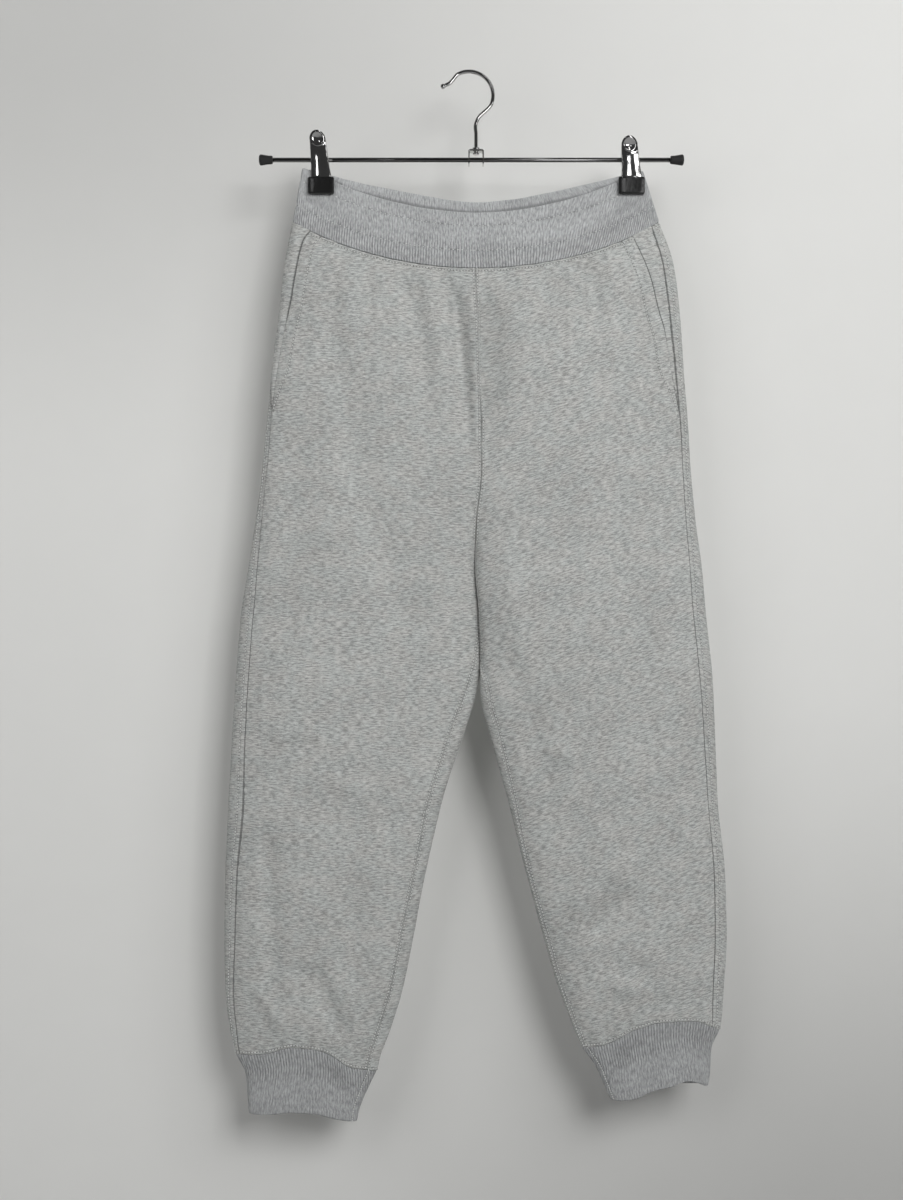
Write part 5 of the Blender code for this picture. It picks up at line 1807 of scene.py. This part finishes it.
def plate(name, clip, face, node):
    lever_top = clip[3]
    sides = curves(PLATE_COLUMNS, PLATE_ROWS)
    neck = PLATE_ROWS[0][0]
    ease = np.linspace(0, 1, PLATE_GRID_ROWS)
    heights = blend(lever_top - 0.3, JAW_BOTTOM, 0.35 * ease ** 2 + 0.65 * ease)
    narrower = EAR_INSET if face > 0 else 0.0
    outer = []
    for z in heights:
        drop = lever_top - z
        rise = min(drop, LEVER_RADIUS)
        half = min(sqrt(LEVER_RADIUS ** 2 - (LEVER_RADIUS - rise) ** 2), PLATE_HALF_WIDTH)
        stand, flange = float(sides["stand"](z)), float(sides["flange"](z))
        if z > neck:
            share = drop / (lever_top - neck)
            stand, flange = blend(LEVER_STAND, PLATE_ROWS[0][2], share), LEVER_FLANGE
            half = blend(half, PLATE_HALF_WIDTH * float(sides["width"](neck)), ramp(0.6, 1, share))
        else:
            half = PLATE_HALF_WIDTH * float(sides["width"](z))
        half -= narrower
        crown = CROWN * float(ramp(SLEEVE_TOP - CROWN_FADE, SLEEVE_TOP + 1, z))
        section = plate_section(half, flange, crown)
        section = np.concatenate([section[:0:-1] * (-1, 1), section])
        from_pad = np.hypot(section[:, 0], drop - LEVER_RADIUS) / LEVER_RADIUS
        pad = PAD_RIM * np.exp(-((from_pad - 0.72) / 0.16) ** 2) - PAD_DISH * np.exp(-(from_pad / 0.5) ** 2)
        out = stand + section[:, 1] + pad * (section[:, 1] > -0.5)
        lean = clip_middle(clip, z)
        outer.append(np.stack([lean + section[:, 0], face * out, np.full(len(out), z)], axis=-1))
    outer = np.array(outer)
    inner = outer - normals(outer, outer * (1, 0, 1)) * PLATE
    new_wall(name, outer, inner, False, CHROME, replaces=(node,), slot="chrome")

# %% [markdown]
# ## Sleeves and springs
#
# The sleeves that grip the cloth are soft boxes: dipped vinyl has no sharp edge, so every section is
# a rounded rectangle and the ends close in. The spring is a real coil round the rod, with its two
# legs pressing the plates apart.

# %% Sleeves and springs
SLEEVE_WIDTH = 26.0
SLEEVE_BOTTOM = -122.0
SLEEVE_INNER = 3.8
SLEEVE_OUTER = 8.3
SLEEVE_CORNER = 1.7
SLEEVE_SIDES = 48
SLEEVE_RINGS = 33
SPRING_RADIUS = 4.3
SPRING_HALF_LENGTH = 5.4
SPRING_TURNS = 5
SPRING_WIRE = 0.75
SPRING_LEG = 11.0


def sleeve(name, clip, face, node):
    middle = face * (SLEEVE_INNER + SLEEVE_OUTER) / 2
    half_deep = (SLEEVE_OUTER - SLEEVE_INNER) / 2
    angle = 2 * pi * np.arange(SLEEVE_SIDES) / SLEEVE_SIDES
    rings = []
    for z in np.linspace(0, 1, SLEEVE_RINGS):
        height = blend(SLEEVE_BOTTOM, SLEEVE_TOP, 0.5 - 0.5 * cos(pi * z))
        end = min(height - SLEEVE_BOTTOM, SLEEVE_TOP - height)
        pull = float(rolled(end, SLEEVE_CORNER))
        corner = max(SLEEVE_CORNER - pull, 0.3)
        x = np.clip(np.cos(angle) * 4, -1, 1) * (SLEEVE_WIDTH / 2 - pull - corner)
        y = np.clip(np.sin(angle) * 4, -1, 1) * (half_deep - pull * 0.9 - corner * 0.9)
        x = x + corner * np.cos(angle)
        y = y + corner * np.sin(angle)
        rings.append(np.stack([clip[1] + x, middle + y, np.full(SLEEVE_SIDES, height)], axis=-1))
    tube_piece(name, rings, VINYL, replaces=(node,), slot="vinyl")


def spring(name, clip, node):
    middle = float(clip_middle(clip, ROD_HEIGHT))
    radius = SPRING_RADIUS - SPRING_WIRE
    angle = np.linspace(0, 2 * pi * SPRING_TURNS + pi, 30 * SPRING_TURNS)
    x = np.linspace(-1, 1, len(angle)) * (SPRING_HALF_LENGTH - SPRING_WIRE)
    coil = np.stack([middle + x, radius * np.cos(angle), ROD_HEIGHT + radius * np.sin(angle)], axis=-1)
    path = [coil]
    for end, at_start in ((coil[0], True), (coil[-1], False)):
        sign = 1 if end[1] > 0 else -1
        leg = np.array([(end[0], end[1] + sign * 1.6 * t, end[2] + SPRING_LEG * t) for t in (0.35, 0.7, 1.0)])
        path = [leg[::-1]] + path if at_start else path + [leg]
    line = np.concatenate(path)
    tube_piece(name, swept(line, SPRING_WIRE, 10, (1.0, 0.02, 0.0)), CHROME, replaces=(node,), slot="chrome")


for clip in CLIPS:
    side = clip[0]
    for face, word in ((-1, "front"), (1, "back")):
        plate(f"clip_{side}_{word}_plate", clip, face, f"clip_{side}_{word}_jaw")
        sleeve(f"clip_{side}_{word}_grip", clip, face, f"clip_{side}_{word}_sleeve")
    spring(f"clip_{side}_coil", clip, f"clip_{side}_spring")

# %% [markdown]


# %% [markdown]
# ## The stage
#
# A plain pale wall stands close behind the garment, to take its soft shadows, and a plain pale floor
# lies below. The wall's colour is painted darker towards its upper left and its lower right: painted
# shade for a wall's falloff away from a lamp. It is only seen from its front, so a camera behind the
# garment looks through it.
# Large soft lights stand in front and are left out of the chrome, which would be white all over. It
# shows a dark room instead, and a few small panels that light only the metal: a strip for each clip's
# stripe, one for its side, one low down for the hook's slopes, and one for the rod's end.

# %% Wall and floor
WALL_Y = 0.070
FLOOR_Z = -1.62
STAGE_HALF = 2.6
WALL_TINT = (1.0, 1.0, 0.975)
WALL_SIDES = (-0.44, 0.42)          # from its left to its right, where the garment hangs
WALL_FOOT = (-1.25, -0.55)          # heights between which its lower right is painted darker, in metres
WALL_CORNER = (-0.45, 0.05)         # and its upper left
FOOT_SHADE = 0.68
CORNER_SHADE = 0.45


def plane(name, corners, material):
    mesh = bpy.data.meshes.new(name)
    mesh.from_pydata(corners, [], [(0, 1, 2, 3)])
    mesh.materials.append(material)
    made = bpy.data.objects.new(name, mesh)
    bpy.context.scene.collection.objects.link(made)
    return made


def wall_finish():
    finish = Finish("pale_wall", Roughness=0.9)
    place = finish.node("ShaderNodeTexCoord", output=3)
    plaster = finish.noise(place, (0.05, 0.05, 0.05), detail=3.0, flat=False)
    colour = finish.mix(plaster, rgb(0.695, WALL_TINT), rgb(0.715, WALL_TINT))
    height = finish.node("ShaderNodeSeparateXYZ", None, {0: place}, output=2)
    across = finish.node("ShaderNodeSeparateXYZ", None, {0: place}, output=0)
    rightward = finish.stretch(across, *WALL_SIDES)
    foot = 1.0 - finish.stretch(height, *WALL_FOOT)
    corner = finish.stretch(height, *WALL_CORNER) * (1.0 - rightward)
    # Painted shade: the wall's colour darkens towards its lower right and its upper left, as falloff away
    # from the lamps.
    painted_falloff = foot * rightward * FOOT_SHADE + corner * CORNER_SHADE
    finish.finish(Base_Color=finish.mix(painted_falloff, colour, rgb(0.35, WALL_TINT)))
    behind = finish.node("ShaderNodeNewGeometry", output=6)
    clear = finish.node("ShaderNodeBsdfTransparent")
    plain = Value(finish, finish.shader.outputs[0])
    seen = finish.node("ShaderNodeMixShader", None, {0: behind, 1: plain, 2: clear})
    finish.feed(finish.tree.nodes["Material Output"].inputs["Surface"], seen)
    return finish.material


def floor_finish():
    finish = Finish("pale_floor", Roughness=0.8)
    place = finish.node("ShaderNodeTexCoord", output=3)
    mottle = finish.noise(place, (0.08, 0.08, 0.08), detail=3.0, flat=False)
    return finish.finish(Base_Color=finish.mix(mottle, rgb(0.42), rgb(0.46)))


wall = plane("wall", [
    (-STAGE_HALF, WALL_Y, FLOOR_Z), (STAGE_HALF, WALL_Y, FLOOR_Z),
    (STAGE_HALF, WALL_Y, STAGE_HALF), (-STAGE_HALF, WALL_Y, STAGE_HALF),
], wall_finish())
wall.visible_shadow = False
plane("floor", [
    (-STAGE_HALF, -STAGE_HALF, FLOOR_Z), (STAGE_HALF, -STAGE_HALF, FLOOR_Z),
    (STAGE_HALF, STAGE_HALF, FLOOR_Z), (-STAGE_HALF, STAGE_HALF, FLOOR_Z),
], floor_finish())

# %% Lights and camera
CAMERA = Vector((-0.0175, -1.6, -0.5265))
LENS = 48.0
# Each light: name, place, aim, width, height, watts, whether chrome shows it, whether it lights cloth
LIGHTS = (
    ("key", (1.1, -3.0, 0.9), (0.15, 0.0, -0.35), 1.2, 1.4, 64.0, False, True),
    ("side", (-0.66, -1.75, 0.38), (-0.1, 0.0, -0.4), 0.42, 0.9, 4.0, False, True),
    ("right_fill", (1.3, -1.5, 0.45), (0.2, 0.0, -0.2), 1.0, 1.0, 12.0, False, True),
    ("left_fill", (-1.3, -1.5, -0.1), (-0.1, 0.0, -0.4), 1.0, 1.2, 8.0, False, True),
    ("rear", (0.4, 1.9, 0.8), (0.0, 0.0, -0.5), 1.6, 1.2, 24.0, True, True),
    ("right_stripe", (-0.283, -0.5, 0.017), (-0.15, 0.0, -0.09), 0.036, 0.06, 0.04, True, False),
    ("left_stripe", (0.152, -0.5, 0.015), (0.16, 0.0, -0.09), 0.085, 0.05, 0.07, True, False),
    ("left_side", (0.45, -0.5, 0.015), (0.16, 0.0, -0.09), 0.20, 0.05, 0.16, True, False),
    ("hook_slope", (0.46, -0.77, -0.23), (0.0, 0.0, -0.05), 0.28, 0.40, 1.5, True, False),
    ("rod_end", (0.275, -0.5, 0.38), (0.19, 0.0, -0.09), 0.06, 0.44, 0.25, True, False),
)
for name, place, aim, width, height, watts, mirrored, diffuse in LIGHTS:
    lamp = bpy.data.lights.new(name, "AREA")
    lamp.shape = "RECTANGLE"
    lamp.size = width
    lamp.size_y = height
    lamp.energy = watts
    holder = bpy.data.objects.new(name, lamp)
    holder.location = place
    holder.rotation_euler = (Vector(aim) - Vector(place)).to_track_quat("-Z", "Y").to_euler()
    holder.visible_camera = False
    holder.visible_glossy = mirrored
    holder.visible_diffuse = diffuse
    bpy.context.scene.collection.objects.link(holder)

world = bpy.data.worlds.new("studio")
world.use_nodes = True
world.node_tree.nodes["Background"].inputs["Color"].default_value = rgb(0.5)
world.node_tree.nodes["Background"].inputs["Strength"].default_value = 0.10
bpy.context.scene.world = world
bpy.context.scene.view_settings.view_transform = "Standard"

lens = bpy.data.cameras.new("camera")
lens.lens = LENS
camera = bpy.data.objects.new("camera", lens)
camera.location = CAMERA
camera.rotation_euler = (pi / 2, 0.0, 0.0)
bpy.context.scene.collection.objects.link(camera)
bpy.context.scene.camera = camera
